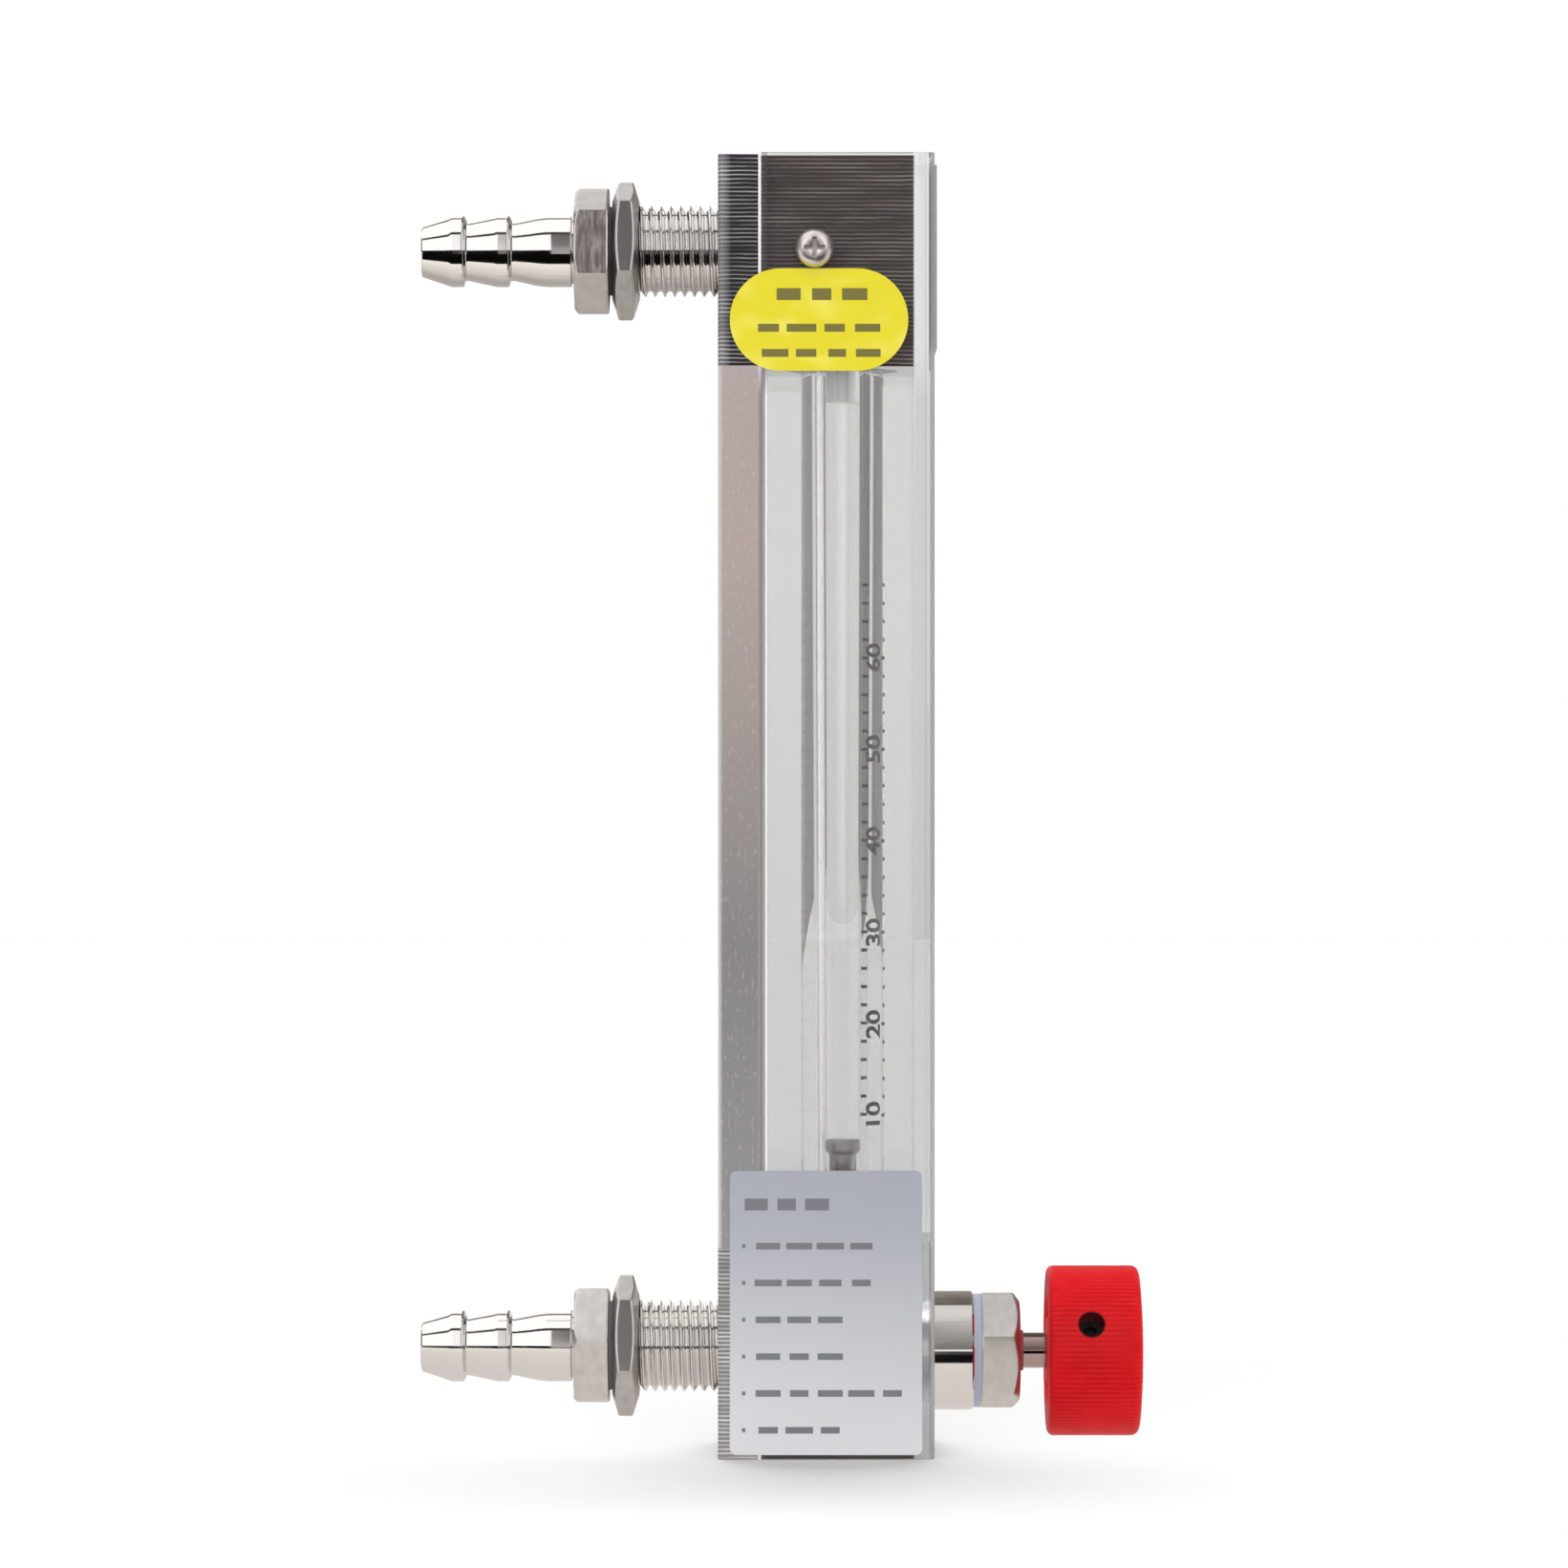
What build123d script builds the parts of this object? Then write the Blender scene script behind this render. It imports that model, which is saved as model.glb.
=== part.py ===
"""A panel-mounted glass-tube flow meter with a needle valve at its foot.

All sizes are in millimetres. +X points to the front and the knob, -X to the two hose ports
at the rear, and +Z up. The origin lies on the base, under the axis of the glass tube.
"""

from math import cos, pi, radians, sin, tan
import os

from build123d import *

os.makedirs("parts", exist_ok=True)

# End blocks
port_spacing = 168.0
port_height = 16.0  # axis of the lower port above the base
top_margin = 13.5  # axis of the upper port to the top of its block
body_width = 30.0
rear_depth = 19.0  # tube axis to the rear faces
front_depth = 10.8  # tube axis to the front faces of the blocks
valve_roof = 1.0  # metal between the valve's spigot and the tube's socket
port_floor = 4.5  # metal between the upper connector and the tube's socket
block_edge = 0.4

# Clear cover
cover_wall = 3.0
cover_side_depth = 23.7  # length of its side walls along the blocks
cover_rise = 0.3  # stands above the upper block
cover_corner = 1.2
spigot_gap = 0.1  # round the valve bonnet where it passes the cover

# Back channel and its countersunk screws
channel_wall = 2.0
tongue_width = 20.0
tongue_length = 7.5
tongue_gap = 0.1
channel_screw_spacing = 12.0
channel_screw_length = 9.0
channel_screw_from_edge = 3.6  # screw axis to the end of the tongue

# M3 screws
screw_r = 1.5
screw_gap = 0.1
countersunk_head_r = 2.8
pan_head_r = 2.9
pan_head_height = 1.9
cross_length = 3.2
cross_width = 0.7
cross_depth = 1.1

# Pan-head screws through the sides of the cover
cover_screw_from_front = 15.2  # screw axis to the front of the block
cover_screw_below_top = 14.3
cover_screw_grip = 6.0  # thread held in the block

# Glass tube and its seals
tube_r = 6.4
bore_bottom_r = 2.8
bore_top_r = 3.25
seal_wall = 2.0
seal_lip = 1.2
seal_lip_r = 3.4  # hole through the lip
socket_depth = 7.0
seal_recess = 0.5
stop_flange = 0.8
riser_r = 2.5  # passage from the valve chamber up to the tube

# Float and its stops
lower_stop_height = 7.7  # above its flange's underside
stop_fin = 1.0
stop_clearance = 0.1
float_length = 13.9
float_clearance = 0.1  # round the flange at the foot of the bore
float_flange_height = 1.7
float_body_r = 2.1
float_cone_length = 4.0
float_tip_r = 0.8
float_neck = 0.6  # height of the flare under the flange
float_bevel = 0.35
upper_stop_reach = 4.9  # below the underside of the upper block
stop_head_length = 7.5
stop_head_gap = 0.65  # round the head at the top of the bore
stop_rod_r = 1.3
flute_r = 0.8
flute_count = 4

# Top plug
plug_r = 6.0
plug_length = 8.5
plug_socket_flats = 5.0
plug_socket_depth = 4.0
plug_gasket_thickness = 1.0
plug_gasket_gap = 0.1
rod_engagement = 3.5
drop_passage_r = 3.4  # passage from the plug down to the tube

# Threaded connectors, lock nuts and hose barbs at the rear
thread_r = 7.0
thread_reach = 16.3  # connector's outer end beyond the rear face
port_depth = 8.5
port_gasket_thickness = 1.0
port_gasket_gap = 0.2
port_bore_r = 2.5
lock_nut_flats = 19.0
lock_nut_thickness = 4.1
lock_nut_turn = {"lower": -16.0, "upper": -20.0}  # angle of a left corner above level, in degrees
barb_flats = 17.0
barb_hex_length = 5.3
barb_turn = {"lower": 8.0, "upper": -24.4}
barb_gasket_thickness = 0.5
barb_stub_r = 4.5
barb_stub_length = 7.5
stub_end_gap = 0.3
hose_r = 5.5
barb_root_r = 4.5
barb_tip_r = 3.95
barb_neck_r = 5.0
barb_neck_length = 0.4
barb_shank_length = 4.6
barb_cone_length = 4.6
barb_land_length = 1.9
barb_step_length = 0.45
barb_count = 3
hex_bevel_angle = 30.0
hex_face_share = 0.475  # radius of a nut's flat face, as a share of its width across flats

# Needle valve
valve_drop = 0.75  # the valve's axis lies this much below the port's
seat_r = 1.75
seat_x = -4.0  # edge of the seat, the rear end of the valve chamber
chamber_r = 4.5
spigot_r = 8.0
spigot_length = 9.0
bonnet_r = 9.1
bonnet_length = 6.2
bonnet_edge = 0.3
bonnet_neck_r = 6.0
bonnet_thread_bore_r = 4.0
packing_bore_r = 3.8
thread_bore_length = 11.5
washer_r = 8.7
washer_thickness = 1.1
gland_flats = 16.0
gland_length = 6.0
gland_wall = 1.8
gland_turn = 18.0
packing_length = 2.3
wiper_r = 3.8
wiper_inset = 0.8
wiper_length = 1.4
wiper_lip = 0.4  # thickness of its lip round the stem

# Stem, needle and O-ring
stem_r = 2.7
running_gap = 0.05
thread_pitch = 1.0
turns_from_closed = 2.25
needle_clearance = 0.03
needle_slope = 0.2
needle_length = 7.0
needle_shoulder = 0.25
stem_thread_inset = 2.5  # inside the rear end of the bonnet
stem_thread_length = 6.7
o_ring_section_r = 0.75
o_ring_inset = 3.7  # in front of the bonnet's threaded bore
groove_gap = 0.05

# Knob and its set screw
knob_r = 13.0
knob_length = 14.7
knob_edge = 1.3
knob_rear_edge = 1.0
knob_dome = 0.7
stem_showing = 3.6  # bare stem between wiper ring and knob
knob_grip = 10.0  # stem length held in the knob
knob_bore_gap = 0.2
knob_relief_inner_r = 5.0
knob_relief_outer_r = 8.5
knob_relief_depth = 3.0
knurl_count = 100
knurl_depth = 0.22
knurl_width = 0.5
set_screw_r = 1.9
set_screw_length = 6.0
set_screw_from_rear = 6.4
set_screw_lift = 22.5  # angle of its hole above the left side, in degrees
set_screw_flats = 2.0
set_screw_socket_depth = 2.0

# Sticker, label and front plate
film_thickness = 0.12
sticker_length = 27.0
sticker_height = 15.5
sticker_from_rear = 15.3  # its centre to the rear faces
sticker_below_top = 25.05  # its centre below the top of the block
label_width = 29.1
label_height = 43.0
label_corner = 1.0
label_from_rear = 1.8
label_bottom = 0.7
plate_thickness = 0.4
plate_height = 27.9
plate_width = 25.0
plate_below_top = 1.7

# Places worked out from the sizes above
half_width = body_width / 2
inner_half_width = half_width - cover_wall
upper_port_z = port_height + port_spacing
block_top = upper_port_z + top_margin
lower_block_height = port_height + spigot_r + valve_roof + socket_depth
upper_block_bottom = upper_port_z - thread_r - port_floor - socket_depth
upper_block_height = block_top - upper_block_bottom
cover_top = block_top + cover_rise
cover_rear_x = front_depth - cover_side_depth
cover_front_x = front_depth + cover_wall
seal_r = tube_r + seal_wall
lower_socket_floor = lower_block_height - socket_depth
upper_socket_floor = upper_block_bottom + socket_depth
stop_flange_bottom = lower_socket_floor + seal_lip
tube_bottom = stop_flange_bottom + stop_flange
tube_top = upper_socket_floor - seal_lip
float_bottom = stop_flange_bottom + lower_stop_height
float_flange_r = bore_bottom_r - float_clearance
upper_stop_end = upper_block_bottom - upper_stop_reach
stop_head_r = bore_top_r - stop_head_gap
plug_bottom = block_top - plug_length
plug_seat = plug_bottom - plug_gasket_thickness
port_floor_x = port_depth - rear_depth
thread_end_x = -rear_depth - thread_reach
barb_hex_x = thread_end_x - barb_gasket_thickness
barb_outer_x = barb_hex_x - barb_hex_length
bonnet_face_x = cover_front_x + bonnet_length
gland_x = bonnet_face_x + washer_thickness
gland_end_x = gland_x + gland_length
neck_end_x = gland_end_x - gland_wall
spigot_end_x = cover_front_x - spigot_length
knob_x = gland_end_x - wiper_inset + wiper_length + stem_showing
cover_screw_x = front_depth - cover_screw_from_front
cover_screw_z = block_top - cover_screw_below_top
port_heights = {"lower": port_height, "upper": upper_port_z}
valve_height = port_height - valve_drop
valve_axis = Axis((0, 0, valve_height), (1, 0, 0))


def long_section(height):
    """Plane through a port's axis: its x runs to the front, its y up from the axis."""
    return Plane(origin=(0, 0, height), x_dir=(1, 0, 0), z_dir=(0, -1, 0))


def facing_rear(x, height, y=0):
    """Plane across the ports' direction that looks out to the rear."""
    return Plane(origin=(x, y, height), x_dir=(0, -1, 0), z_dir=(-1, 0, 0))


def facing_front(x, height):
    """Plane across the valve's axis that looks out to the front."""
    return Plane(origin=(x, 0, height), x_dir=(0, 1, 0), z_dir=(1, 0, 0))


def ring_outline(start, end, inner_r, outer_r):
    """Corners of the rectangle that turns into a ring."""
    return [(start, inner_r), (end, inner_r), (end, outer_r), (start, outer_r)]


def bevel_outline(start, end, flats, both_ends):
    """Half section of the turned body that bevels the corners of a hexagon."""
    corner_r = flats / 2 / cos(pi / 6)
    face_r = flats * hex_face_share
    bevel = (corner_r - face_r) * tan(radians(hex_bevel_angle))
    side = 1 if end > start else -1
    first = [(start, face_r), (start + side * bevel, corner_r)] if both_ends else [(start, corner_r)]
    return [(start, 0)] + first + [(end - side * bevel, corner_r), (end, face_r), (end, 0)]


def channel_screw_places():
    """Rear face planes at the four countersunk screws, two in each tongue."""
    heights = (
        lower_block_height - tongue_length + channel_screw_from_edge,
        upper_block_bottom + tongue_length - channel_screw_from_edge,
    )
    return [
        facing_rear(-rear_depth, height, side * channel_screw_spacing / 2)
        for height in heights
        for side in (-1, 1)
    ]


def cover_screw_places(side_y):
    """Planes at the two cover screws, at the given distance from the middle."""
    return [
        Plane(origin=(cover_screw_x, side * side_y, cover_screw_z), z_dir=(0, side, 0))
        for side in (-1, 1)
    ]


# Section of both blocks: full width behind the cover, narrower between its side walls
with BuildSketch() as block_section:
    with BuildLine():
        Polyline(
            (-rear_depth, -half_width),
            (cover_rear_x, -half_width),
            (cover_rear_x, -inner_half_width),
            (front_depth, -inner_half_width),
            (front_depth, inner_half_width),
            (cover_rear_x, inner_half_width),
            (cover_rear_x, half_width),
            (-rear_depth, half_width),
            close=True,
        )
    make_face()
    rear_corners = block_section.vertices().group_by(Axis.X)[0]
    chamfer(rear_corners, length=block_edge)

# Recess in a block's rear face for the channel's tongue
recess_width = tongue_width + 2 * tongue_gap
recess_length = tongue_length + tongue_gap

with BuildPart() as lower_block:
    extrude(block_section.sketch, amount=lower_block_height)
    with Locations((0, 0, lower_block_height)):
        CounterBoreHole(
            radius=riser_r,
            counter_bore_radius=seal_r,
            counter_bore_depth=socket_depth,
            depth=lower_block_height - valve_height,
        )
    with Locations(facing_rear(-rear_depth, port_height)):
        Hole(radius=thread_r, depth=port_depth)
    with Locations(facing_rear(-rear_depth, valve_height)):
        Hole(radius=seat_r, depth=rear_depth + seat_x)
    with Locations(facing_front(front_depth, valve_height)):
        CounterBoreHole(
            radius=chamber_r,
            counter_bore_radius=spigot_r,
            counter_bore_depth=front_depth - spigot_end_x,
            depth=front_depth - seat_x,
        )
    with Locations(facing_rear(-rear_depth, lower_block_height)):
        Box(recess_width, 2 * recess_length, 2 * channel_wall, mode=Mode.SUBTRACT)
    with Locations(*channel_screw_places()[:2]):
        Hole(radius=screw_r, depth=channel_screw_length)
lower_block.part.label = "lower_block"
export_step(lower_block.part, "parts/lower_block.step")

with BuildPart() as upper_block:
    with BuildSketch(Plane.XY.offset(upper_block_bottom)):
        add(block_section.sketch)
    extrude(amount=upper_block_height)
    with Locations(Plane(origin=(0, 0, upper_block_bottom), z_dir=(0, 0, -1))):
        CounterBoreHole(
            radius=drop_passage_r,
            counter_bore_radius=seal_r,
            counter_bore_depth=socket_depth,
            depth=plug_seat - upper_block_bottom,
        )
    with Locations((0, 0, block_top)):
        Hole(radius=plug_r, depth=block_top - plug_seat)
    with Locations(facing_rear(-rear_depth, upper_port_z)):
        CounterBoreHole(
            radius=port_bore_r,
            counter_bore_radius=thread_r,
            counter_bore_depth=port_depth,
            depth=rear_depth,
        )
    with Locations(facing_rear(-rear_depth, upper_block_bottom)):
        Box(recess_width, 2 * recess_length, 2 * channel_wall, mode=Mode.SUBTRACT)
    with Locations(*channel_screw_places()[2:]):
        Hole(radius=screw_r, depth=channel_screw_length)
    with Locations(*cover_screw_places(inner_half_width)):
        Hole(radius=screw_r, depth=cover_screw_grip)
upper_block.part.label = "upper_block"
export_step(upper_block.part, "parts/upper_block.step")

# U-section between the blocks, with a tongue at each end screwed into the blocks' recesses
with BuildPart() as back_channel:
    with BuildSketch(Plane.XY.offset(lower_block_height)):
        with BuildLine():
            Polyline(
                (-rear_depth, -half_width),
                (cover_rear_x, -half_width),
                (cover_rear_x, channel_wall - half_width),
                (channel_wall - rear_depth, channel_wall - half_width),
                (channel_wall - rear_depth, half_width - channel_wall),
                (cover_rear_x, half_width - channel_wall),
                (cover_rear_x, half_width),
                (-rear_depth, half_width),
                close=True,
            )
        make_face()
        chamfer(
            [v for v in vertices() if abs(v.X + rear_depth) < block_edge / 2],
            length=block_edge,
        )
    extrude(amount=upper_block_bottom - lower_block_height)
    with BuildSketch(facing_rear(channel_wall - rear_depth, (lower_block_height + upper_block_bottom) / 2)):
        Rectangle(tongue_width, upper_block_bottom - lower_block_height + 2 * tongue_length)
    extrude(amount=channel_wall)
    with Locations(*channel_screw_places()):
        CounterSinkHole(
            radius=screw_r + screw_gap,
            counter_sink_radius=countersunk_head_r,
            depth=channel_wall,
        )
back_channel.part.label = "back_channel"
export_step(back_channel.part, "parts/back_channel.step")

with BuildPart() as front_cover:
    with BuildSketch():
        with BuildLine():
            Polyline(
                (cover_rear_x, -half_width),
                (cover_front_x, -half_width),
                (cover_front_x, half_width),
                (cover_rear_x, half_width),
                (cover_rear_x, inner_half_width),
                (front_depth, inner_half_width),
                (front_depth, -inner_half_width),
                (cover_rear_x, -inner_half_width),
                close=True,
            )
        make_face()
        fillet(
            [v for v in vertices() if abs(v.X - cover_front_x) < cover_wall / 2],
            radius=cover_corner,
        )
    extrude(amount=cover_top)
    with Locations(facing_front(cover_front_x, valve_height)):
        Hole(radius=spigot_r + spigot_gap, depth=cover_wall)
    with Locations(*cover_screw_places(half_width)):
        Hole(radius=screw_r + screw_gap, depth=cover_wall)
front_cover.part.label = "front_cover"
export_step(front_cover.part, "parts/front_cover.step")

# One screw of each kind, head up, with the face of the panel that it holds at zero
with BuildPart() as countersunk_screw:
    with BuildSketch(Plane.XZ):
        with BuildLine():
            Polyline(
                (0, 0),
                (countersunk_head_r, 0),
                (screw_r, screw_r - countersunk_head_r),
                (screw_r, -channel_screw_length),
                (0, -channel_screw_length),
                close=True,
            )
        make_face()
    revolve(axis=Axis.Z)
    Box(cross_length, cross_width, 2 * cross_depth, mode=Mode.SUBTRACT)
    Box(cross_width, cross_length, 2 * cross_depth, mode=Mode.SUBTRACT)

with BuildPart() as pan_head_screw:
    with BuildSketch(Plane.XZ):
        with BuildLine():
            Line((0, pan_head_height), (0, -cover_wall - cover_screw_grip))
            Line((0, -cover_wall - cover_screw_grip), (screw_r, -cover_wall - cover_screw_grip))
            Line((screw_r, -cover_wall - cover_screw_grip), (screw_r, 0))
            Line((screw_r, 0), (pan_head_r, 0))
            Line((pan_head_r, 0), (pan_head_r, pan_head_height / 2))
            TangentArc((pan_head_r, pan_head_height / 2), (0, pan_head_height), tangent=(0, 1))
        make_face()
    revolve(axis=Axis.Z)
    with Locations((0, 0, pan_head_height)):
        Box(cross_length, cross_width, 2 * cross_depth, mode=Mode.SUBTRACT)
        Box(cross_width, cross_length, 2 * cross_depth, mode=Mode.SUBTRACT)

with BuildPart() as channel_screws:
    with Locations(*channel_screw_places()):
        add(countersunk_screw.part)
channel_screws.part.label = "channel_screws"
export_step(channel_screws.part, "parts/channel_screws.step")

with BuildPart() as cover_screws:
    with Locations(*cover_screw_places(half_width)):
        add(pan_head_screw.part)
cover_screws.part.label = "cover_screws"
export_step(cover_screws.part, "parts/cover_screws.step")

# Thick-walled tube whose bore widens towards the top
with BuildPart() as glass_tube:
    with BuildSketch(Plane.XZ):
        with BuildLine():
            Polyline(
                (bore_bottom_r, tube_bottom),
                (tube_r, tube_bottom),
                (tube_r, tube_top),
                (bore_top_r, tube_top),
                close=True,
            )
        make_face()
    revolve(axis=Axis.Z)
glass_tube.part.label = "glass_tube"
export_step(glass_tube.part, "parts/glass_tube.step")

# Rubber cups: a sleeve round the tube's end and a lip between that end and the socket's floor
seal_ends = {
    "lower": (lower_socket_floor, stop_flange_bottom, lower_block_height - seal_recess),
    "upper": (upper_socket_floor, tube_top, upper_block_bottom + seal_recess),
}
for level, (floor, lip_end, mouth) in seal_ends.items():
    with BuildPart() as tube_seal:
        with BuildSketch(Plane.XZ):
            with BuildLine():
                Polyline(
                    (seal_lip_r, floor),
                    (seal_r, floor),
                    (seal_r, mouth),
                    (tube_r, mouth),
                    (tube_r, lip_end),
                    (seal_lip_r, lip_end),
                    close=True,
                )
            make_face()
        revolve(axis=Axis.Z)
    tube_seal.part.label = f"{level}_tube_seal"
    export_step(tube_seal.part, f"parts/{level}_tube_seal.step")

# Crossed fins that carry the resting float, on a flange clamped under the tube's end
with BuildPart() as lower_stop:
    with BuildSketch(Plane.XY.offset(stop_flange_bottom)):
        Circle(tube_r)
        Circle(riser_r, mode=Mode.SUBTRACT)
    extrude(amount=stop_flange)
    with BuildSketch(Plane.XY.offset(stop_flange_bottom)):
        Rectangle(2 * (bore_bottom_r - stop_clearance), stop_fin)
        Rectangle(stop_fin, 2 * (bore_bottom_r - stop_clearance))
    extrude(amount=lower_stop_height)
lower_stop.part.label = "lower_stop"
export_step(lower_stop.part, "parts/lower_stop.step")

with BuildPart() as metering_float:
    with BuildSketch(Plane.XZ):
        with BuildLine():
            Polyline(
                (0, float_bottom),
                (float_tip_r, float_bottom),
                (float_body_r, float_bottom + float_cone_length),
                (float_body_r, float_bottom + float_length - float_flange_height - float_neck),
                (float_flange_r, float_bottom + float_length - float_flange_height),
                (float_flange_r, float_bottom + float_length - float_bevel),
                (float_flange_r - float_bevel, float_bottom + float_length),
                (0, float_bottom + float_length),
                close=True,
            )
        make_face()
    revolve(axis=Axis.Z)
metering_float.part.label = "metering_float"
export_step(metering_float.part, "parts/metering_float.step")

# Fluted head on a rod that hangs from the top plug into the tube
rod_top = plug_bottom + rod_engagement
with BuildPart() as upper_stop:
    with BuildSketch(Plane.XY.offset(upper_stop_end)):
        Circle(stop_head_r)
        with PolarLocations(stop_head_r, flute_count):
            Circle(flute_r, mode=Mode.SUBTRACT)
    extrude(amount=stop_head_length)
    with BuildSketch(Plane.XY.offset(upper_stop_end)):
        Circle(stop_rod_r)
    extrude(amount=rod_top - upper_stop_end)
upper_stop.part.label = "upper_stop"
export_step(upper_stop.part, "parts/upper_stop.step")

with BuildPart() as top_plug:
    with BuildSketch(Plane.XY.offset(plug_bottom)):
        Circle(plug_r)
    extrude(amount=plug_length)
    chamfer(top_plug.edges().group_by(Axis.Z)[-1], length=block_edge)
    with BuildSketch(Plane.XY.offset(block_top)):
        RegularPolygon(plug_socket_flats / 2, 6, major_radius=False)
    extrude(amount=-plug_socket_depth, mode=Mode.SUBTRACT)
    with Locations(Plane(origin=(0, 0, plug_bottom), z_dir=(0, 0, -1))):
        Hole(radius=stop_rod_r, depth=rod_engagement)
top_plug.part.label = "top_plug"
export_step(top_plug.part, "parts/top_plug.step")

with BuildPart() as plug_gasket:
    with BuildSketch(Plane.XY.offset(plug_seat)):
        Circle(plug_r - plug_gasket_gap)
        Circle(drop_passage_r, mode=Mode.SUBTRACT)
    extrude(amount=plug_gasket_thickness)
plug_gasket.part.label = "plug_gasket"
export_step(plug_gasket.part, "parts/plug_gasket.step")

# The same rear port twice: connector, its gasket, lock nut, hose barb and the barb's gasket
for level, height in port_heights.items():
    section = long_section(height)
    port_axis = Axis((0, 0, height), (1, 0, 0))

    with BuildPart() as connector:
        with BuildSketch(section):
            with BuildLine():
                Polyline(
                    (port_floor_x - port_gasket_thickness, port_bore_r),
                    (port_floor_x - port_gasket_thickness, thread_r),
                    (thread_end_x, thread_r),
                    (thread_end_x, barb_stub_r),
                    (barb_hex_x + barb_stub_length + stub_end_gap, barb_stub_r),
                    (barb_hex_x + barb_stub_length + stub_end_gap, port_bore_r),
                    close=True,
                )
            make_face()
        revolve(axis=port_axis)
    connector.part.label = f"{level}_threaded_connector"
    export_step(connector.part, f"parts/{level}_threaded_connector.step")

    with BuildPart() as port_gasket:
        with BuildSketch(section):
            with BuildLine():
                Polyline(
                    *ring_outline(
                        port_floor_x - port_gasket_thickness,
                        port_floor_x,
                        port_bore_r,
                        thread_r - port_gasket_gap,
                    ),
                    close=True,
                )
            make_face()
        revolve(axis=port_axis)
    port_gasket.part.label = f"{level}_port_gasket"
    export_step(port_gasket.part, f"parts/{level}_port_gasket.step")

    with BuildPart() as lock_nut:
        with BuildSketch(facing_rear(thread_end_x + lock_nut_thickness, height)):
            RegularPolygon(lock_nut_flats / 2, 6, major_radius=False, rotation=lock_nut_turn[level])
        extrude(amount=lock_nut_thickness)
        with BuildSketch(section):
            with BuildLine():
                outline = bevel_outline(
                    thread_end_x + lock_nut_thickness, thread_end_x, lock_nut_flats, True
                )
                Polyline(*outline, close=True)
            make_face()
        revolve(axis=port_axis, mode=Mode.INTERSECT)
        with Locations(facing_rear(thread_end_x, height)):
            Hole(radius=thread_r, depth=lock_nut_thickness)
    lock_nut.part.label = f"{level}_lock_nut"
    export_step(lock_nut.part, f"parts/{level}_lock_nut.step")

    # Outline of the barb from its stub out to its tip, a ridge at a time
    ridge_x = barb_outer_x - barb_neck_length - barb_shank_length
    barb_outline = [
        (barb_hex_x + barb_stub_length, 0),
        (barb_hex_x + barb_stub_length, barb_stub_r),
        (barb_outer_x, barb_stub_r),
        (barb_outer_x, barb_neck_r),
        (barb_outer_x - barb_neck_length, barb_neck_r),
        (barb_outer_x - barb_neck_length, hose_r),
        (ridge_x, hose_r),
    ]
    for ridge in range(1, barb_count):
        ridge_x -= barb_cone_length
        barb_outline.append((ridge_x, barb_root_r))
        ridge_x -= barb_step_length
        barb_outline.append((ridge_x, hose_r))
        ridge_x -= barb_land_length
        barb_outline.append((ridge_x, hose_r))
    ridge_x -= barb_cone_length
    barb_outline.append((ridge_x, barb_tip_r))
    barb_outline.append((ridge_x, 0))

    with BuildPart() as hose_barb:
        with BuildSketch(facing_rear(barb_hex_x, height)):
            RegularPolygon(barb_flats / 2, 6, major_radius=False, rotation=barb_turn[level])
        extrude(amount=barb_hex_length)
        with BuildSketch(section):
            with BuildLine():
                Polyline(*bevel_outline(barb_hex_x, barb_outer_x, barb_flats, True), close=True)
            make_face()
        revolve(axis=port_axis, mode=Mode.INTERSECT)
        with BuildSketch(section):
            with BuildLine():
                Polyline(*barb_outline, close=True)
            make_face()
        revolve(axis=port_axis)
        with Locations(facing_rear(ridge_x, height)):
            Hole(radius=port_bore_r)
    hose_barb.part.label = f"{level}_hose_barb"
    export_step(hose_barb.part, f"parts/{level}_hose_barb.step")

    with BuildPart() as barb_gasket:
        with BuildSketch(section):
            with BuildLine():
                Polyline(
                    *ring_outline(barb_hex_x, thread_end_x, barb_stub_r, thread_r - port_gasket_gap),
                    close=True,
                )
            make_face()
        revolve(axis=port_axis)
    barb_gasket.part.label = f"{level}_barb_gasket"
    export_step(barb_gasket.part, f"parts/{level}_barb_gasket.step")

# Bonnet: spigot through the cover into the block, collar on the cover, neck for the gland nut
valve_section = long_section(valve_height)
with BuildPart() as valve_bonnet:
    with BuildSketch(valve_section):
        with BuildLine():
            Polyline(
                (spigot_end_x, bonnet_thread_bore_r),
                (spigot_end_x, spigot_r),
                (cover_front_x, spigot_r),
                (cover_front_x, bonnet_r),
                (bonnet_face_x - bonnet_edge, bonnet_r),
                (bonnet_face_x, bonnet_r - bonnet_edge),
                (bonnet_face_x, bonnet_neck_r),
                (neck_end_x, bonnet_neck_r),
                (neck_end_x, packing_bore_r),
                (spigot_end_x + thread_bore_length, packing_bore_r),
                (spigot_end_x + thread_bore_length, bonnet_thread_bore_r),
                close=True,
            )
        make_face()
    revolve(axis=valve_axis)
valve_bonnet.part.label = "valve_bonnet"
export_step(valve_bonnet.part, "parts/valve_bonnet.step")

with BuildPart() as bonnet_washer:
    with BuildSketch(valve_section):
        with BuildLine():
            Polyline(*ring_outline(bonnet_face_x, gland_x, bonnet_neck_r, washer_r), close=True)
        make_face()
    revolve(axis=valve_axis)
bonnet_washer.part.label = "bonnet_washer"
export_step(bonnet_washer.part, "parts/bonnet_washer.step")

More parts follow.
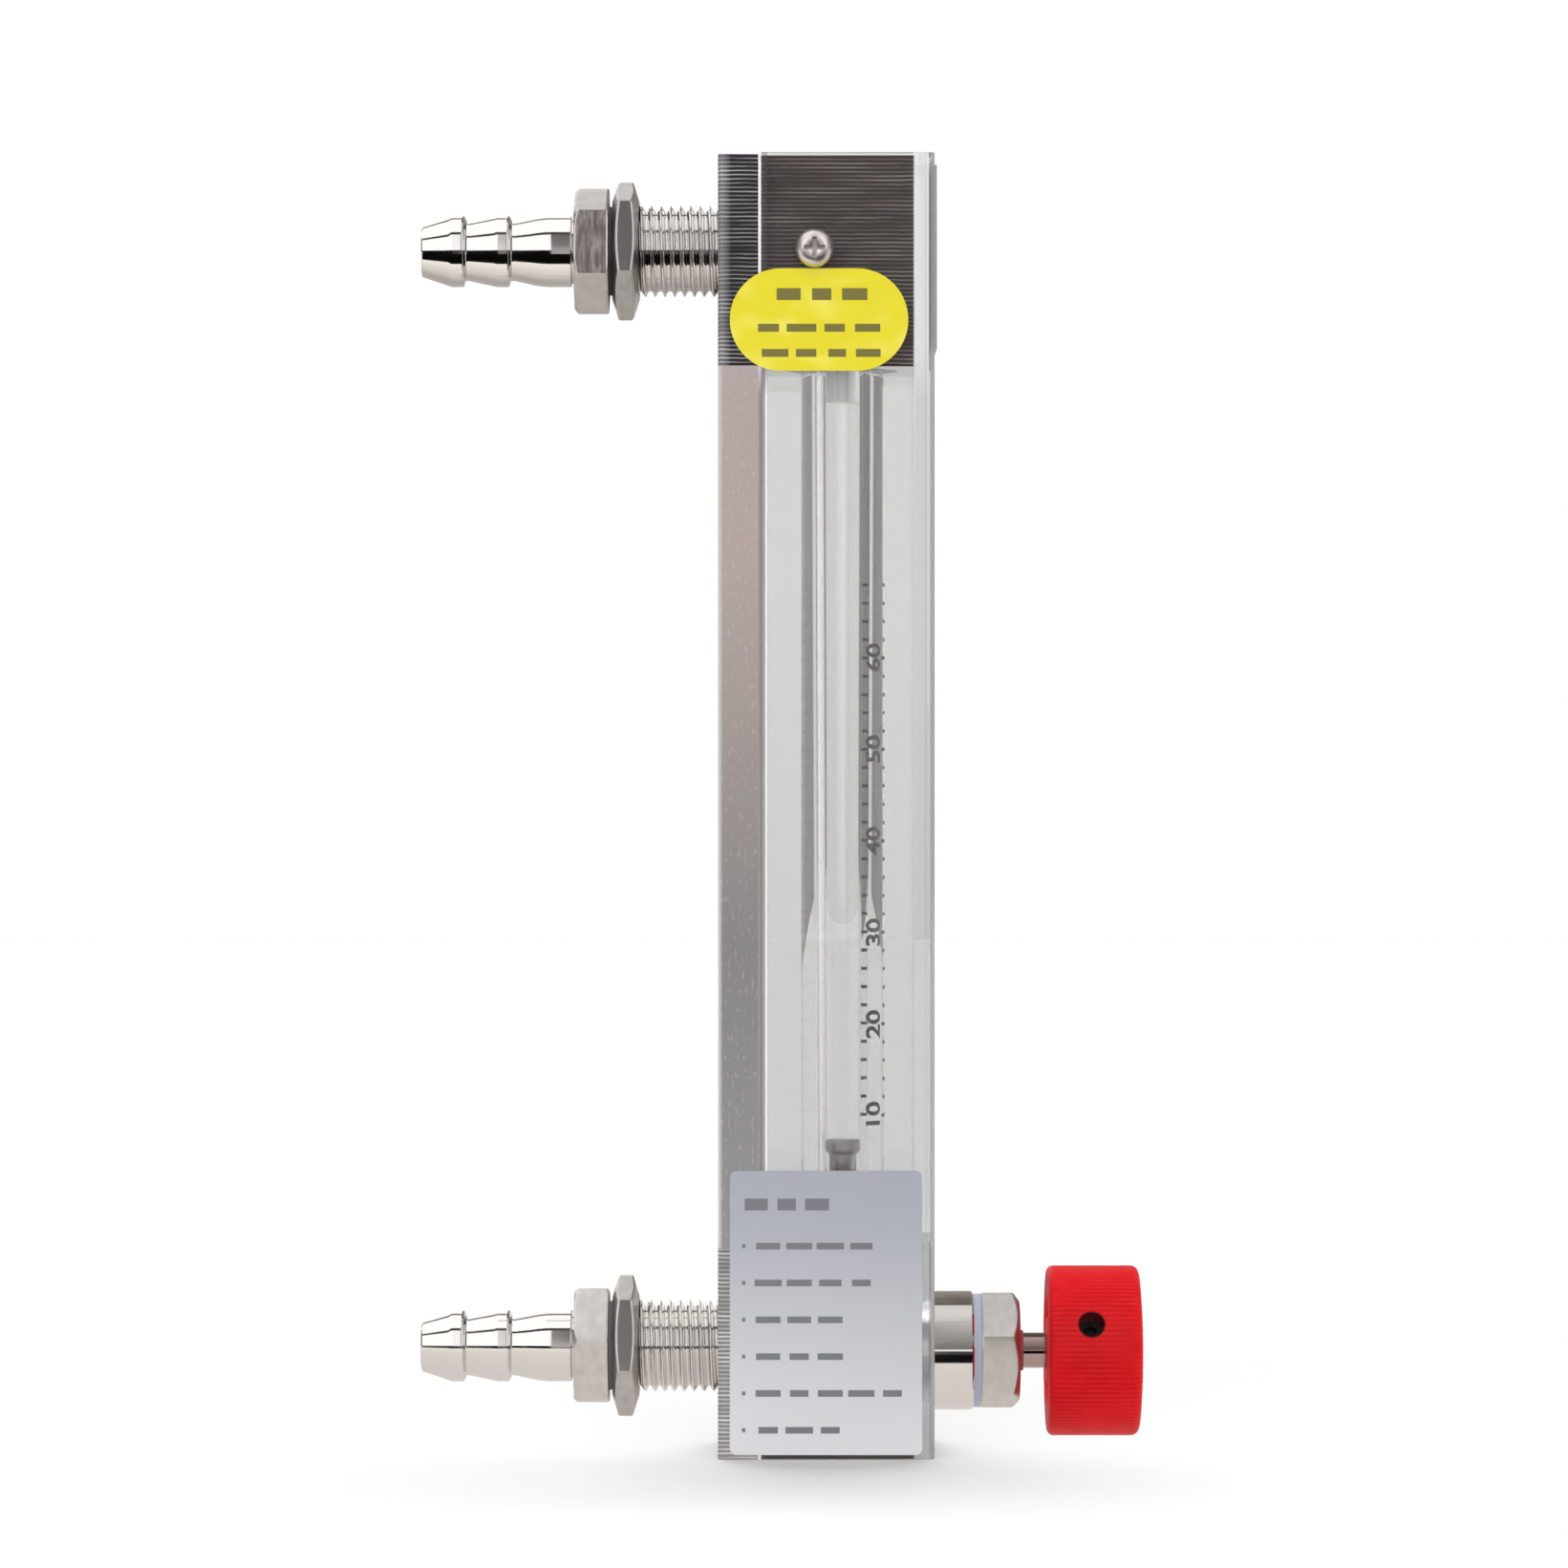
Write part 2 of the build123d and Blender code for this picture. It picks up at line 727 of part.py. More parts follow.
with BuildPart() as gland_nut:
    with BuildSketch(facing_front(gland_x, valve_height)):
        RegularPolygon(gland_flats / 2, 6, major_radius=False, rotation=-gland_turn)
    extrude(amount=gland_length)
    with BuildSketch(valve_section):
        with BuildLine():
            Polyline(*bevel_outline(gland_x, gland_end_x, gland_flats, False), close=True)
        make_face()
    revolve(axis=valve_axis, mode=Mode.INTERSECT)
    with Locations(facing_front(gland_end_x, valve_height)):
        CounterBoreHole(
            radius=stem_r + 2 * running_gap,
            counter_bore_radius=wiper_r,
            counter_bore_depth=wiper_inset,
        )
    with Locations(facing_rear(gland_x, valve_height)):
        Hole(radius=bonnet_neck_r, depth=gland_length - gland_wall)
gland_nut.part.label = "gland_nut"
export_step(gland_nut.part, "parts/gland_nut.step")

with BuildPart() as gland_packing:
    with BuildSketch(valve_section):
        with BuildLine():
            Polyline(
                *ring_outline(
                    neck_end_x - packing_length, neck_end_x, stem_r + running_gap, packing_bore_r
                ),
                close=True,
            )
        make_face()
    revolve(axis=valve_axis)
gland_packing.part.label = "gland_packing"
export_step(gland_packing.part, "parts/gland_packing.step")

wiper_x = gland_end_x - wiper_inset
with BuildPart() as wiper_ring:
    with BuildSketch(valve_section):
        with BuildLine():
            Polyline(
                (wiper_x, stem_r + running_gap),
                (wiper_x + wiper_length, stem_r + running_gap),
                (wiper_x + wiper_length, stem_r + wiper_lip),
                (gland_end_x, stem_r + wiper_lip),
                (gland_end_x, wiper_r),
                (wiper_x, wiper_r),
                close=True,
            )
        make_face()
    revolve(axis=valve_axis)
wiper_ring.part.label = "wiper_ring"
export_step(wiper_ring.part, "parts/wiper_ring.step")

# Stem at its resting place, a few turns open: needle, core, thread, O-ring groove and shaft
contact_x = seat_x + turns_from_closed * thread_pitch
contact_r = seat_r - needle_clearance
shoulder_x = contact_x + needle_shoulder
groove_r = stem_r - o_ring_section_r + running_gap
groove_half = o_ring_section_r + groove_gap
stem_thread_r = bonnet_thread_bore_r - running_gap
stem_end_x = knob_x + knob_grip
stem_thread_x = spigot_end_x + stem_thread_inset
o_ring_x = spigot_end_x + thread_bore_length + o_ring_inset
with BuildPart() as valve_stem:
    with BuildSketch(valve_section):
        with BuildLine():
            Polyline(
                (contact_x - needle_length, 0),
                (contact_x - needle_length, contact_r - needle_length * needle_slope),
                (shoulder_x, contact_r + needle_shoulder * needle_slope),
                (shoulder_x, stem_r),
                (stem_thread_x, stem_r),
                (stem_thread_x, stem_thread_r),
                (stem_thread_x + stem_thread_length, stem_thread_r),
                (stem_thread_x + stem_thread_length, stem_r),
                (o_ring_x - groove_half, stem_r),
                (o_ring_x - groove_half, groove_r),
                (o_ring_x + groove_half, groove_r),
                (o_ring_x + groove_half, stem_r),
                (stem_end_x, stem_r),
                (stem_end_x, 0),
                close=True,
            )
        make_face()
    revolve(axis=valve_axis)
valve_stem.part.label = "valve_stem"
export_step(valve_stem.part, "parts/valve_stem.step")

with BuildPart() as stem_o_ring:
    with BuildSketch(valve_section):
        with Locations((o_ring_x, groove_r + groove_gap + o_ring_section_r)):
            Circle(o_ring_section_r)
    revolve(axis=valve_axis)
stem_o_ring.part.label = "stem_o_ring"
export_step(stem_o_ring.part, "parts/stem_o_ring.step")

# Knob: domed front, rounded rims, a relief behind and fine straight grooves around it
knob_front_x = knob_x + knob_length
set_screw_x = knob_x + set_screw_from_rear
lift = radians(set_screw_lift)
set_screw_direction = Vector(0, -cos(lift), sin(lift))
set_screw_rim = Vector(set_screw_x, 0, valve_height) + set_screw_direction * knob_r
with BuildPart() as control_knob:
    with BuildSketch(valve_section) as knob_section:
        with BuildLine():
            ThreePointArc(
                (knob_front_x - knob_dome, knob_r),
                (knob_front_x - knob_dome / 4, knob_r / 2),
                (knob_front_x, 0),
            )
            Polyline(
                (knob_front_x, 0),
                (knob_x + knob_grip + knob_bore_gap, 0),
                (knob_x + knob_grip + knob_bore_gap, stem_r),
                (knob_x, stem_r),
                (knob_x, knob_relief_inner_r),
                (knob_x + knob_relief_depth, knob_relief_inner_r),
                (knob_x + knob_relief_depth, knob_relief_outer_r),
                (knob_x, knob_relief_outer_r),
                (knob_x, knob_r),
                (knob_front_x - knob_dome, knob_r),
            )
        make_face()
        rims = knob_section.vertices().sort_by(Axis.Y)[-2:].sort_by(Axis.X)
        fillet(rims[0], radius=knob_rear_edge)
        rims = knob_section.vertices().sort_by(Axis.X)
        fillet([v for v in rims if v.Y > knob_r - knob_dome][-1], radius=knob_edge)
    revolve(axis=valve_axis)
    with BuildSketch(facing_front(knob_x, valve_height)):
        with PolarLocations(knob_r, knurl_count):
            with BuildLine():
                Polyline(
                    (-knurl_depth, 0),
                    (knurl_depth, -knurl_width),
                    (knurl_depth, knurl_width),
                    close=True,
                )
            make_face()
    extrude(amount=knob_length, mode=Mode.SUBTRACT)
    with Locations(Plane(origin=set_screw_rim, z_dir=set_screw_direction)):
        Hole(radius=set_screw_r, depth=knob_r)
control_knob.part.label = "control_knob"
export_step(control_knob.part, "parts/control_knob.step")

set_screw_foot = Vector(set_screw_x, 0, valve_height) + set_screw_direction * stem_r
with BuildPart() as knob_set_screw:
    with BuildSketch(Plane(origin=set_screw_foot, z_dir=set_screw_direction)):
        Circle(set_screw_r)
    extrude(amount=set_screw_length)
    with BuildSketch(Plane(origin=set_screw_foot, z_dir=set_screw_direction).offset(set_screw_length)):
        RegularPolygon(set_screw_flats / 2, 6, major_radius=False)
    extrude(amount=-set_screw_socket_depth, mode=Mode.SUBTRACT)
knob_set_screw.part.label = "knob_set_screw"
export_step(knob_set_screw.part, "parts/knob_set_screw.step")

# Films on the left side, which looks to -Y, and the thin plate on the cover's front
sticker_x = sticker_from_rear - rear_depth
sticker_z = block_top - sticker_below_top
with BuildPart() as side_sticker:
    with BuildSketch(Plane(origin=(sticker_x, -half_width, sticker_z), x_dir=(1, 0, 0), z_dir=(0, -1, 0))):
        SlotOverall(sticker_length, sticker_height)
    extrude(amount=film_thickness)
side_sticker.part.label = "side_sticker"
export_step(side_sticker.part, "parts/side_sticker.step")

label_x = label_from_rear + label_width / 2 - rear_depth
label_z = label_bottom + label_height / 2
with BuildPart() as side_label:
    with BuildSketch(Plane(origin=(label_x, -half_width, label_z), x_dir=(1, 0, 0), z_dir=(0, -1, 0))):
        RectangleRounded(label_width, label_height, label_corner)
    extrude(amount=film_thickness)
side_label.part.label = "side_label"
export_step(side_label.part, "parts/side_label.step")

plate_z = cover_top - plate_below_top - plate_height / 2
with BuildPart() as front_plate:
    with BuildSketch(facing_front(cover_front_x, plate_z)):
        Rectangle(plate_width, plate_height)
    extrude(amount=plate_thickness)
front_plate.part.label = "front_plate"
export_step(front_plate.part, "parts/front_plate.step")
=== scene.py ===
from math import cos, pi, radians, sin, sqrt, tan

import bmesh
import bpy
from mathutils import Matrix, Vector


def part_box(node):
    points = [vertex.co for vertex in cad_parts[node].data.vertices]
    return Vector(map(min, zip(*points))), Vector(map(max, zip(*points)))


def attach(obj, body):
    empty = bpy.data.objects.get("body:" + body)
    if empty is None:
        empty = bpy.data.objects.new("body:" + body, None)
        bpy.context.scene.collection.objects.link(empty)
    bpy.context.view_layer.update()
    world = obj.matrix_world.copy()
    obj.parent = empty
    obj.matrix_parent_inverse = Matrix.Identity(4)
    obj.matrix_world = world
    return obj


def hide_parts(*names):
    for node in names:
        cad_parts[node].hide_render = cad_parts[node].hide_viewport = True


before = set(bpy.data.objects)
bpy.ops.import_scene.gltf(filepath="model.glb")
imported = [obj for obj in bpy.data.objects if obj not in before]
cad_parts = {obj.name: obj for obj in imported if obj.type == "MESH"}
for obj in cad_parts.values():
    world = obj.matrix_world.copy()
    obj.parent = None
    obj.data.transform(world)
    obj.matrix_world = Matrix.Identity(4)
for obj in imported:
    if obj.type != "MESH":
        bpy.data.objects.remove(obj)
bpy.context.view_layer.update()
mm = 0.001


# Photo studio
# The meter is photographed exactly from its side, against white, on a white floor that keeps a soft
# shadow under the foot. The polished metal mirrors a surround of pale and dark strips.
def linear(value):
    """Turns an sRGB hex colour into the linear values that shaders take; other values stay."""
    if not isinstance(value, str):
        return value
    parts = [int(value[i:i + 2], 16) / 255 for i in (1, 3, 5)]
    return [c / 12.92 if c <= 0.04045 else ((c + 0.055) / 1.055) ** 2.4 for c in parts] + [1.0]


def plug(node, inputs):
    """Fills a node's inputs: each takes a value, a hex colour, a socket, or a node's first live output."""
    for name, value in inputs.items():
        if isinstance(value, bpy.types.Node):
            value = next(socket for socket in value.outputs if socket.enabled)
        if isinstance(value, bpy.types.NodeSocket):
            node.id_data.links.new(value, node.inputs[name])
        else:
            node.inputs[name].default_value = linear(value)


def add_node(tree, kind, inputs=None, stops=(), **settings):
    """Adds a node with its inputs and settings, and with the (place, colour) stops of a colour ramp."""
    node = tree.nodes.new(kind)
    for name, value in settings.items():
        setattr(node, name, value)
    plug(node, inputs or {})
    if stops:
        marks = node.color_ramp.elements
        for _ in stops[2:]:
            marks.new(0.5)
        for mark, (place, colour) in zip(marks, stops):
            mark.position = place
            mark.color = linear(colour)
    return node


def object_axes(tree):
    """The surface's place on the object, as X, Y and Z sockets."""
    place = add_node(tree, "ShaderNodeTexCoord")
    return add_node(tree, "ShaderNodeSeparateXYZ", {0: place.outputs["Object"]}).outputs


def studio_material(name):
    """A material for the studio, still without nodes; returns it and its tree."""
    material = bpy.data.materials.new(name)
    material.use_nodes = True
    material.node_tree.nodes.clear()
    return material, material.node_tree


def hide_from(thing, *rays):
    """Lets the named kinds of rays pass an object."""
    for kind in rays:
        setattr(thing, f"visible_{kind}", False)


def stage_mesh(name, corners, faces, material, *passing):
    """A flat card of the studio; the kinds of rays in passing don't meet it."""
    mesh = bpy.data.meshes.new(name)
    mesh.from_pydata(corners, [], faces)
    mesh.materials.append(material)
    thing = bpy.data.objects.new(name, mesh)
    bpy.context.scene.collection.objects.link(thing)
    hide_from(thing, *passing)


scene = bpy.context.scene
scene.view_settings.view_transform = "Standard"

view_middle = Vector((-9.0, 0.0, 102.2)) * mm
view_distance = 1000 * mm
camera_data = bpy.data.cameras.new("side_view")
camera_data.sensor_width = 36
camera_data.lens = 149.5
camera = bpy.data.objects.new("side_view", camera_data)
camera.location = view_middle + Vector((0, -view_distance, 0))
camera.rotation_euler = (pi / 2, 0, 0)
scene.collection.objects.link(camera)
scene.camera = camera

# The room lights the meter at sky_level and looks white. What is seen through glass dims a little
# towards the horizon, so that room and floor join there without a step.
sky_level = 0.62
horizon_dip = -0.08
horizon = (-0.024, 0.03)
world = bpy.data.worlds.new("white_room")
world.use_nodes = True
scene.world = world
sky = world.node_tree
sky.nodes.clear()
ray = add_node(sky, "ShaderNodeLightPath").outputs
seen = add_node(sky, "ShaderNodeMath", {0: ray["Is Camera Ray"], 1: ray["Is Glossy Ray"]}, operation="ADD")
seen = add_node(sky, "ShaderNodeMath", {0: seen, 1: ray["Is Transmission Ray"]}, operation="ADD", use_clamp=True)
lit = add_node(sky, "ShaderNodeBackground", {"Color": "#FFFFFF", "Strength": sky_level})
aim = add_node(sky, "ShaderNodeSeparateXYZ", {0: add_node(sky, "ShaderNodeTexCoord").outputs["Generated"]})
fall = add_node(
    sky,
    "ShaderNodeMapRange",
    {"Value": aim.outputs["Z"], "From Min": horizon[0], "From Max": horizon[1], "To Min": horizon_dip, "To Max": 0.0},
)
fall = add_node(sky, "ShaderNodeMath", {0: ray["Is Transmission Ray"], 1: fall, 2: 1.0}, operation="MULTIPLY_ADD")
white = add_node(sky, "ShaderNodeBackground", {"Color": "#FFFFFF", "Strength": fall})
mixed = add_node(sky, "ShaderNodeMixShader", {0: seen, 1: lit, 2: white})
add_node(sky, "ShaderNodeOutputWorld", {"Surface": mixed})

# The floor card keeps the shadow. A faint glow adds the light that a white floor gives back to the
# meter, and brightens the floor as seen through glass.
floor_grey = 0.67
floor_half = 3.29
back_light = 0.12
glass_light = 0.047
floor_white, tree = studio_material("white_floor_card")
ray = add_node(tree, "ShaderNodeLightPath").outputs
lift = add_node(tree, "ShaderNodeMath", {0: ray["Is Diffuse Ray"], 1: back_light}, operation="MULTIPLY")
lift = add_node(
    tree, "ShaderNodeMath", {0: ray["Is Transmission Ray"], 1: glass_light, 2: lift}, operation="MULTIPLY_ADD"
)
card = add_node(tree, "ShaderNodeBsdfDiffuse", {"Color": (floor_grey, floor_grey, floor_grey, 1)})
glow = add_node(tree, "ShaderNodeEmission", {"Strength": lift})
both = add_node(tree, "ShaderNodeAddShader", {0: card, 1: glow})
add_node(tree, "ShaderNodeOutputMaterial", {"Surface": both})
corners = [(x * floor_half, y * floor_half, 0) for x, y in ((-1, -1), (1, -1), (1, 1), (-1, 1))]
stage_mesh("floor", corners, [(0, 1, 2, 3)], floor_white, "glossy")

# The mirrored surround: angles above the camera's direction, distance, left and right ends, colours
# at the lower and upper edge, and brightness. The last four cards are the camera and its stand.
surround_cards = [
    (-70, 1, 2.5, -2.5, 2.5, "#0C0B0B", "#0E0D0D", 1.0),
    (1, 52, 2.5, -2.5, 2.5, "#FFFFFF", "#FFFFFF", 1.5),
    (52, 61, 2.5, -2.5, 0.04, "#4A4847", "#4A4847", 1.0),
    (61, 119, 2.5, -2.5, 0.04, "#FFFFFF", "#F6F5F3", 1.5),
    (61, 103, 2.5, 0.04, 2.5, "#FFFFFF", "#F6F5F3", 0.95),
    (119, 128, 2.5, -2.5, 0.04, "#6E6B69", "#6E6B69", 1.0),
    (128, 178, 2.5, -2.5, 0.04, "#F6F4F2", "#FFFFFF", 1.5),
    (103, 176, 2.5, 0.04, 2.5, "#554B47", "#B4ACA7", 1.0),
    (-8, 20, 1.02, -0.094, 0.03, "#D2CFCC", "#7F7C7A", 1.0),
    (20, 54, 1.02, -0.094, 0.03, "#7F7C7A", "#605E5C", 1.0),
    (1, 57, 1.02, 0.03, 0.2, "#77736F", "#E4E5E4", 1.0),
    (57, 80, 1.02, 0.03, 0.2, "#D0D0CF", "#F6F6F6", 1.0),
]
mirrored_only = ("camera", "diffuse", "transmission", "shadow")
for count, (low, high, away, left, right, low_tone, high_tone, brightness) in enumerate(surround_cards):
    strip, tree = studio_material(f"surround_card_{count}")
    heights = [view_middle.z + away * sin(radians(angle)) for angle in (low, high)]
    share = {"Value": object_axes(tree)["Z"], "From Min": heights[0], "From Max": heights[1]}
    share = add_node(tree, "ShaderNodeMapRange", share)
    fade = add_node(tree, "ShaderNodeMix", {0: share, 6: low_tone, 7: high_tone}, data_type="RGBA")
    glow = add_node(tree, "ShaderNodeEmission", {"Color": fade, "Strength": brightness})
    add_node(tree, "ShaderNodeOutputMaterial", {"Surface": glow})
    corners = []
    for angle, z in zip((low, high), heights):
        y = -away * cos(radians(angle))
        corners += [(left, y, z), (right, y, z)]
    stage_mesh(f"surround_{count}", corners, [(0, 1, 3, 2)], strip, *mirrored_only)

# The table top as the metal mirrors it: it ends a little in front of the meter. Its glow darkens towards and behind
# the meter, a painted shadow of the meter on the table.
table_front = 0.18
table_seen, tree = studio_material("white_table_mirrored")
share = {"Value": object_axes(tree)["Y"], "From Min": -table_front, "From Max": 0.1}
share = add_node(tree, "ShaderNodeMapRange", share)
table_glow_with_painted_shadow = [(0.0, (1.30, 1.26, 1.20, 1)), (0.6, (0.94, 0.89, 0.85, 1)), (1.0, (0.58, 0.54, 0.52, 1))]
fade = add_node(tree, "ShaderNodeValToRGB", {"Fac": share}, table_glow_with_painted_shadow)
glow = add_node(tree, "ShaderNodeEmission", {"Color": fade, "Strength": 1.0})
add_node(tree, "ShaderNodeOutputMaterial", {"Surface": glow})
table_outline = [(-2.5, -table_front), (0.01, -table_front), (0.012, -0.05), (2.5, -0.05), (2.5, 2.5), (-2.5, 2.5)]
corners = [(x, y, -mm) for x, y in table_outline]
stage_mesh("mirrored_table", corners, [tuple(range(6))], table_seen, *mirrored_only)

# The room beside the white table is dim; the metal and the bent views through the glass show it
side_distance = 2.5
mirrored_loss = -0.25
side_grey, tree = studio_material("dim_room_side")
ray = add_node(tree, "ShaderNodeLightPath").outputs
dimmed = {0: ray["Is Glossy Ray"], 1: mirrored_loss, 2: 1.0}
dimmed = add_node(tree, "ShaderNodeMath", dimmed, operation="MULTIPLY_ADD")
glow = add_node(tree, "ShaderNodeEmission", {"Color": "#A3A19E", "Strength": dimmed})
add_node(tree, "ShaderNodeOutputMaterial", {"Surface": glow})
side_outline = [(y * side_distance, z * side_distance) for y, z in ((-1, 0), (2, 0), (2, 1), (-1, 1))]
for count, side in enumerate((-1, 1)):
    corners = [(side * side_distance, y, z) for y, z in side_outline]
    stage_mesh(f"room_side_{count}", corners, [(0, 1, 2, 3)], side_grey, "camera", "diffuse", "shadow")

# Lamps: energy, the angle that each takes up in the sky, and how it tilts and leans, in degrees
soft_lights = {
    "top_back_key": (2.4, 21, (-14, -3.2)),
    "front_fill": (1.12, 60, (62, -16)),
    "side_fill": (1.7, 1, (0, 90)),
}
for name, (energy, spread, (tilt, lean)) in soft_lights.items():
    sun = bpy.data.lights.new(name, "SUN")
    sun.energy = energy
    sun.angle = radians(spread)
    lamp = bpy.data.objects.new(name, sun)
    lamp.rotation_euler = (radians(tilt), radians(lean), 0)
    hide_from(lamp, "glossy")
    scene.collection.objects.link(lamp)


# End blocks
# Two blocks of plain aluminium bar, sawn and face-milled. The cutter leaves fine level lines, whose glints are
# painted into the colour as dark and bright bands. Behind the cover the colours are painted paler, a painted
# brightening that makes up for the cover dimming them.
def paint(material, sockets):
    """Sets or links sockets of a material's principled shader."""
    plug(material.node_tree.nodes["Principled BSDF"], sockets)


def new_material(name, sockets):
    """A material whose principled shader has these sockets set."""
    material = bpy.data.materials.new(name)
    material.use_nodes = True
    paint(material, sockets)
    return material


def stretched_noise(tree, spacing, detail=2.0):
    """Noise whose features have the given spacing in metres along X, Y and Z."""
    place = add_node(tree, "ShaderNodeTexCoord")
    scale = [1 / s for s in spacing]
    spread = add_node(tree, "ShaderNodeMapping", {"Vector": place.outputs["Object"], "Scale": scale})
    return add_node(tree, "ShaderNodeTexNoise", {"Vector": spread, "Scale": 1.0, "Detail": detail})


def dress(material, *names):
    """Gives CAD nodes their finish."""
    for name in names:
        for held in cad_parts[name].material_slots:
            held.material = material


cutter_feed = 0.63 * mm
wave_length = pi / 10  # of a wave texture at scale 1
cover_rear = -12.9 * mm
rear_gleam = (-18.9 * mm, -17.0 * mm)
low_gleam = (31 * mm, 34 * mm)
block_front = 10.6 * mm
bore_reach = 10.5 * mm
nearly_level = 0.9
milled = new_material("milled_aluminium", {"Roughness": 0.34})
tree = milled.node_tree
place = add_node(tree, "ShaderNodeTexCoord").outputs["Object"]
feed = add_node(
    tree,
    "ShaderNodeTexWave",
    {"Vector": place, "Scale": wave_length / cutter_feed, "Distortion": 1.2, "Detail": 3.0, "Detail Scale": 0.6},
    bands_direction="Z",
).outputs["Fac"]
patches = stretched_noise(tree, (14 * mm, 14 * mm, 1.6 * mm), 3.0)
uneven = {"Value": patches, "From Min": 0.3, "From Max": 0.7, "To Min": 0.25, "To Max": 1.0}
uneven = add_node(tree, "ShaderNodeMapRange", uneven)
# Painted glints: the cutter's lines become dark and bright bands of colour, patchy along the block
ridges = add_node(tree, "ShaderNodeMath", {0: feed, 1: 2.2}, operation="POWER")
ridges = add_node(tree, "ShaderNodeMath", {0: ridges, 1: uneven}, operation="MULTIPLY")
bare = [(0.0, "#322F31"), (0.35, "#525054"), (0.9, "#C4C4CA")]
bare = add_node(tree, "ShaderNodeValToRGB", {"Fac": ridges}, bare)
# Painted light: the same bands in paler tones, for the parts behind the cover
painted_paler_under_cover = [(0.0, "#80746F"), (0.4, "#A89B9A"), (0.9, "#F8F0ED")]
painted_paler_under_cover = add_node(tree, "ShaderNodeValToRGB", {"Fac": ridges}, painted_paler_under_cover)
parts = add_node(tree, "ShaderNodeSeparateXYZ", {0: place}).outputs
behind = add_node(tree, "ShaderNodeMath", {0: parts["X"], 1: cover_rear}, operation="GREATER_THAN")
tone = add_node(tree, "ShaderNodeMix", {0: behind, 6: bare, 7: painted_paler_under_cover}, data_type="RGBA")

# The rear edge and the foot's bare strip gleam: a painted highlight in paler tones
rear = {"Value": parts["X"], "From Min": rear_gleam[0], "From Max": rear_gleam[1], "To Min": 0.95, "To Max": 0.0}
rear = add_node(tree, "ShaderNodeMapRange", rear)
low_down = {"Value": parts["Z"], "From Min": low_gleam[0], "From Max": low_gleam[1], "To Min": 0.8, "To Max": 0.0}
low_down = add_node(tree, "ShaderNodeMapRange", low_down)
low_down = add_node(tree, "ShaderNodeMath", {0: low_down, 1: behind}, operation="SUBTRACT", use_clamp=True)
rear = add_node(tree, "ShaderNodeMath", {0: rear, 1: low_down}, operation="MAXIMUM")
painted_gleam_tone = [(0.0, "#989698"), (0.35, "#BDBBBD"), (0.9, "#FAFAFC")]
painted_gleam_tone = add_node(tree, "ShaderNodeValToRGB", {"Fac": ridges}, painted_gleam_tone)
tone = add_node(tree, "ShaderNodeMix", {0: rear, 6: tone, 7: painted_gleam_tone}, data_type="RGBA")

# Tops are brushed; the front, the underside and the bores' walls are painted pale and made less metallic: painted
# light where these faces lie in shade
facing = add_node(tree, "ShaderNodeNewGeometry").outputs["True Normal"]
facing = add_node(tree, "ShaderNodeSeparateXYZ", {0: facing}).outputs["Z"]
level = add_node(tree, "ShaderNodeMath", {0: facing, 1: -nearly_level}, operation="LESS_THAN")
upward = add_node(tree, "ShaderNodeMath", {0: facing, 1: nearly_level}, operation="GREATER_THAN")
brushed = stretched_noise(tree, (9 * mm, 0.35 * mm, 9 * mm), 3.0)
brushed = add_node(tree, "ShaderNodeValToRGB", {"Fac": brushed}, [(0.3, "#8F8C8D"), (0.7, "#BDBBBC")])
tone = add_node(tree, "ShaderNodeMix", {0: upward, 6: tone, 7: brushed}, data_type="RGBA")
front = add_node(tree, "ShaderNodeMath", {0: parts["X"], 1: block_front}, operation="GREATER_THAN")
front = add_node(tree, "ShaderNodeMath", {0: front, 1: level}, operation="MAXIMUM")
across = add_node(tree, "ShaderNodeMath", {0: parts["X"], 1: parts["X"]}, operation="MULTIPLY")
across = add_node(tree, "ShaderNodeMath", {0: parts["Y"], 1: parts["Y"], 2: across}, operation="MULTIPLY_ADD")
bored = add_node(tree, "ShaderNodeMath", {0: across, 1: bore_reach ** 2}, operation="LESS_THAN")
bored = add_node(tree, "ShaderNodeMath", {0: bored, 1: upward}, operation="SUBTRACT", use_clamp=True)
front = add_node(tree, "ShaderNodeMath", {0: front, 1: bored}, operation="MAXIMUM")
painted_light_tone = add_node(tree, "ShaderNodeMix", {0: front, 6: tone, 7: "#DCDCDE"}, data_type="RGBA")
shine = add_node(tree, "ShaderNodeMath", {0: front, 1: -0.55, 2: 0.8}, operation="MULTIPLY_ADD")
bump = add_node(tree, "ShaderNodeBump", {"Height": feed, "Strength": 0.3, "Distance": 0.05 * mm})
paint(milled, {"Base Color": painted_light_tone, "Metallic": shine, "Normal": bump})
dress(milled, "lower_block", "upper_block")


# Back channel and its screws
# A folded strip of satin aluminium that joins the blocks at the rear. Broad soft reflections are painted into its
# colour: a painted reflection, warm near the top and cooler below, in drifting patches. Four countersunk steel screws
# hold its tongues.
channel_span = (32 * mm, 166 * mm)
fold_width = (-18.9 * mm, -18.3 * mm)
web_front = -18.5 * mm
wall_inside = 14.6 * mm
satin = new_material("satin_aluminium", {"Roughness": 0.42})
tree = satin.node_tree
painted_reflection_patches = stretched_noise(tree, (60 * mm, 60 * mm, 45 * mm), 1.0)
parts = object_axes(tree)
height = {"Value": parts["Z"], "From Min": channel_span[0], "From Max": channel_span[1]}
height = add_node(tree, "ShaderNodeMapRange", height)
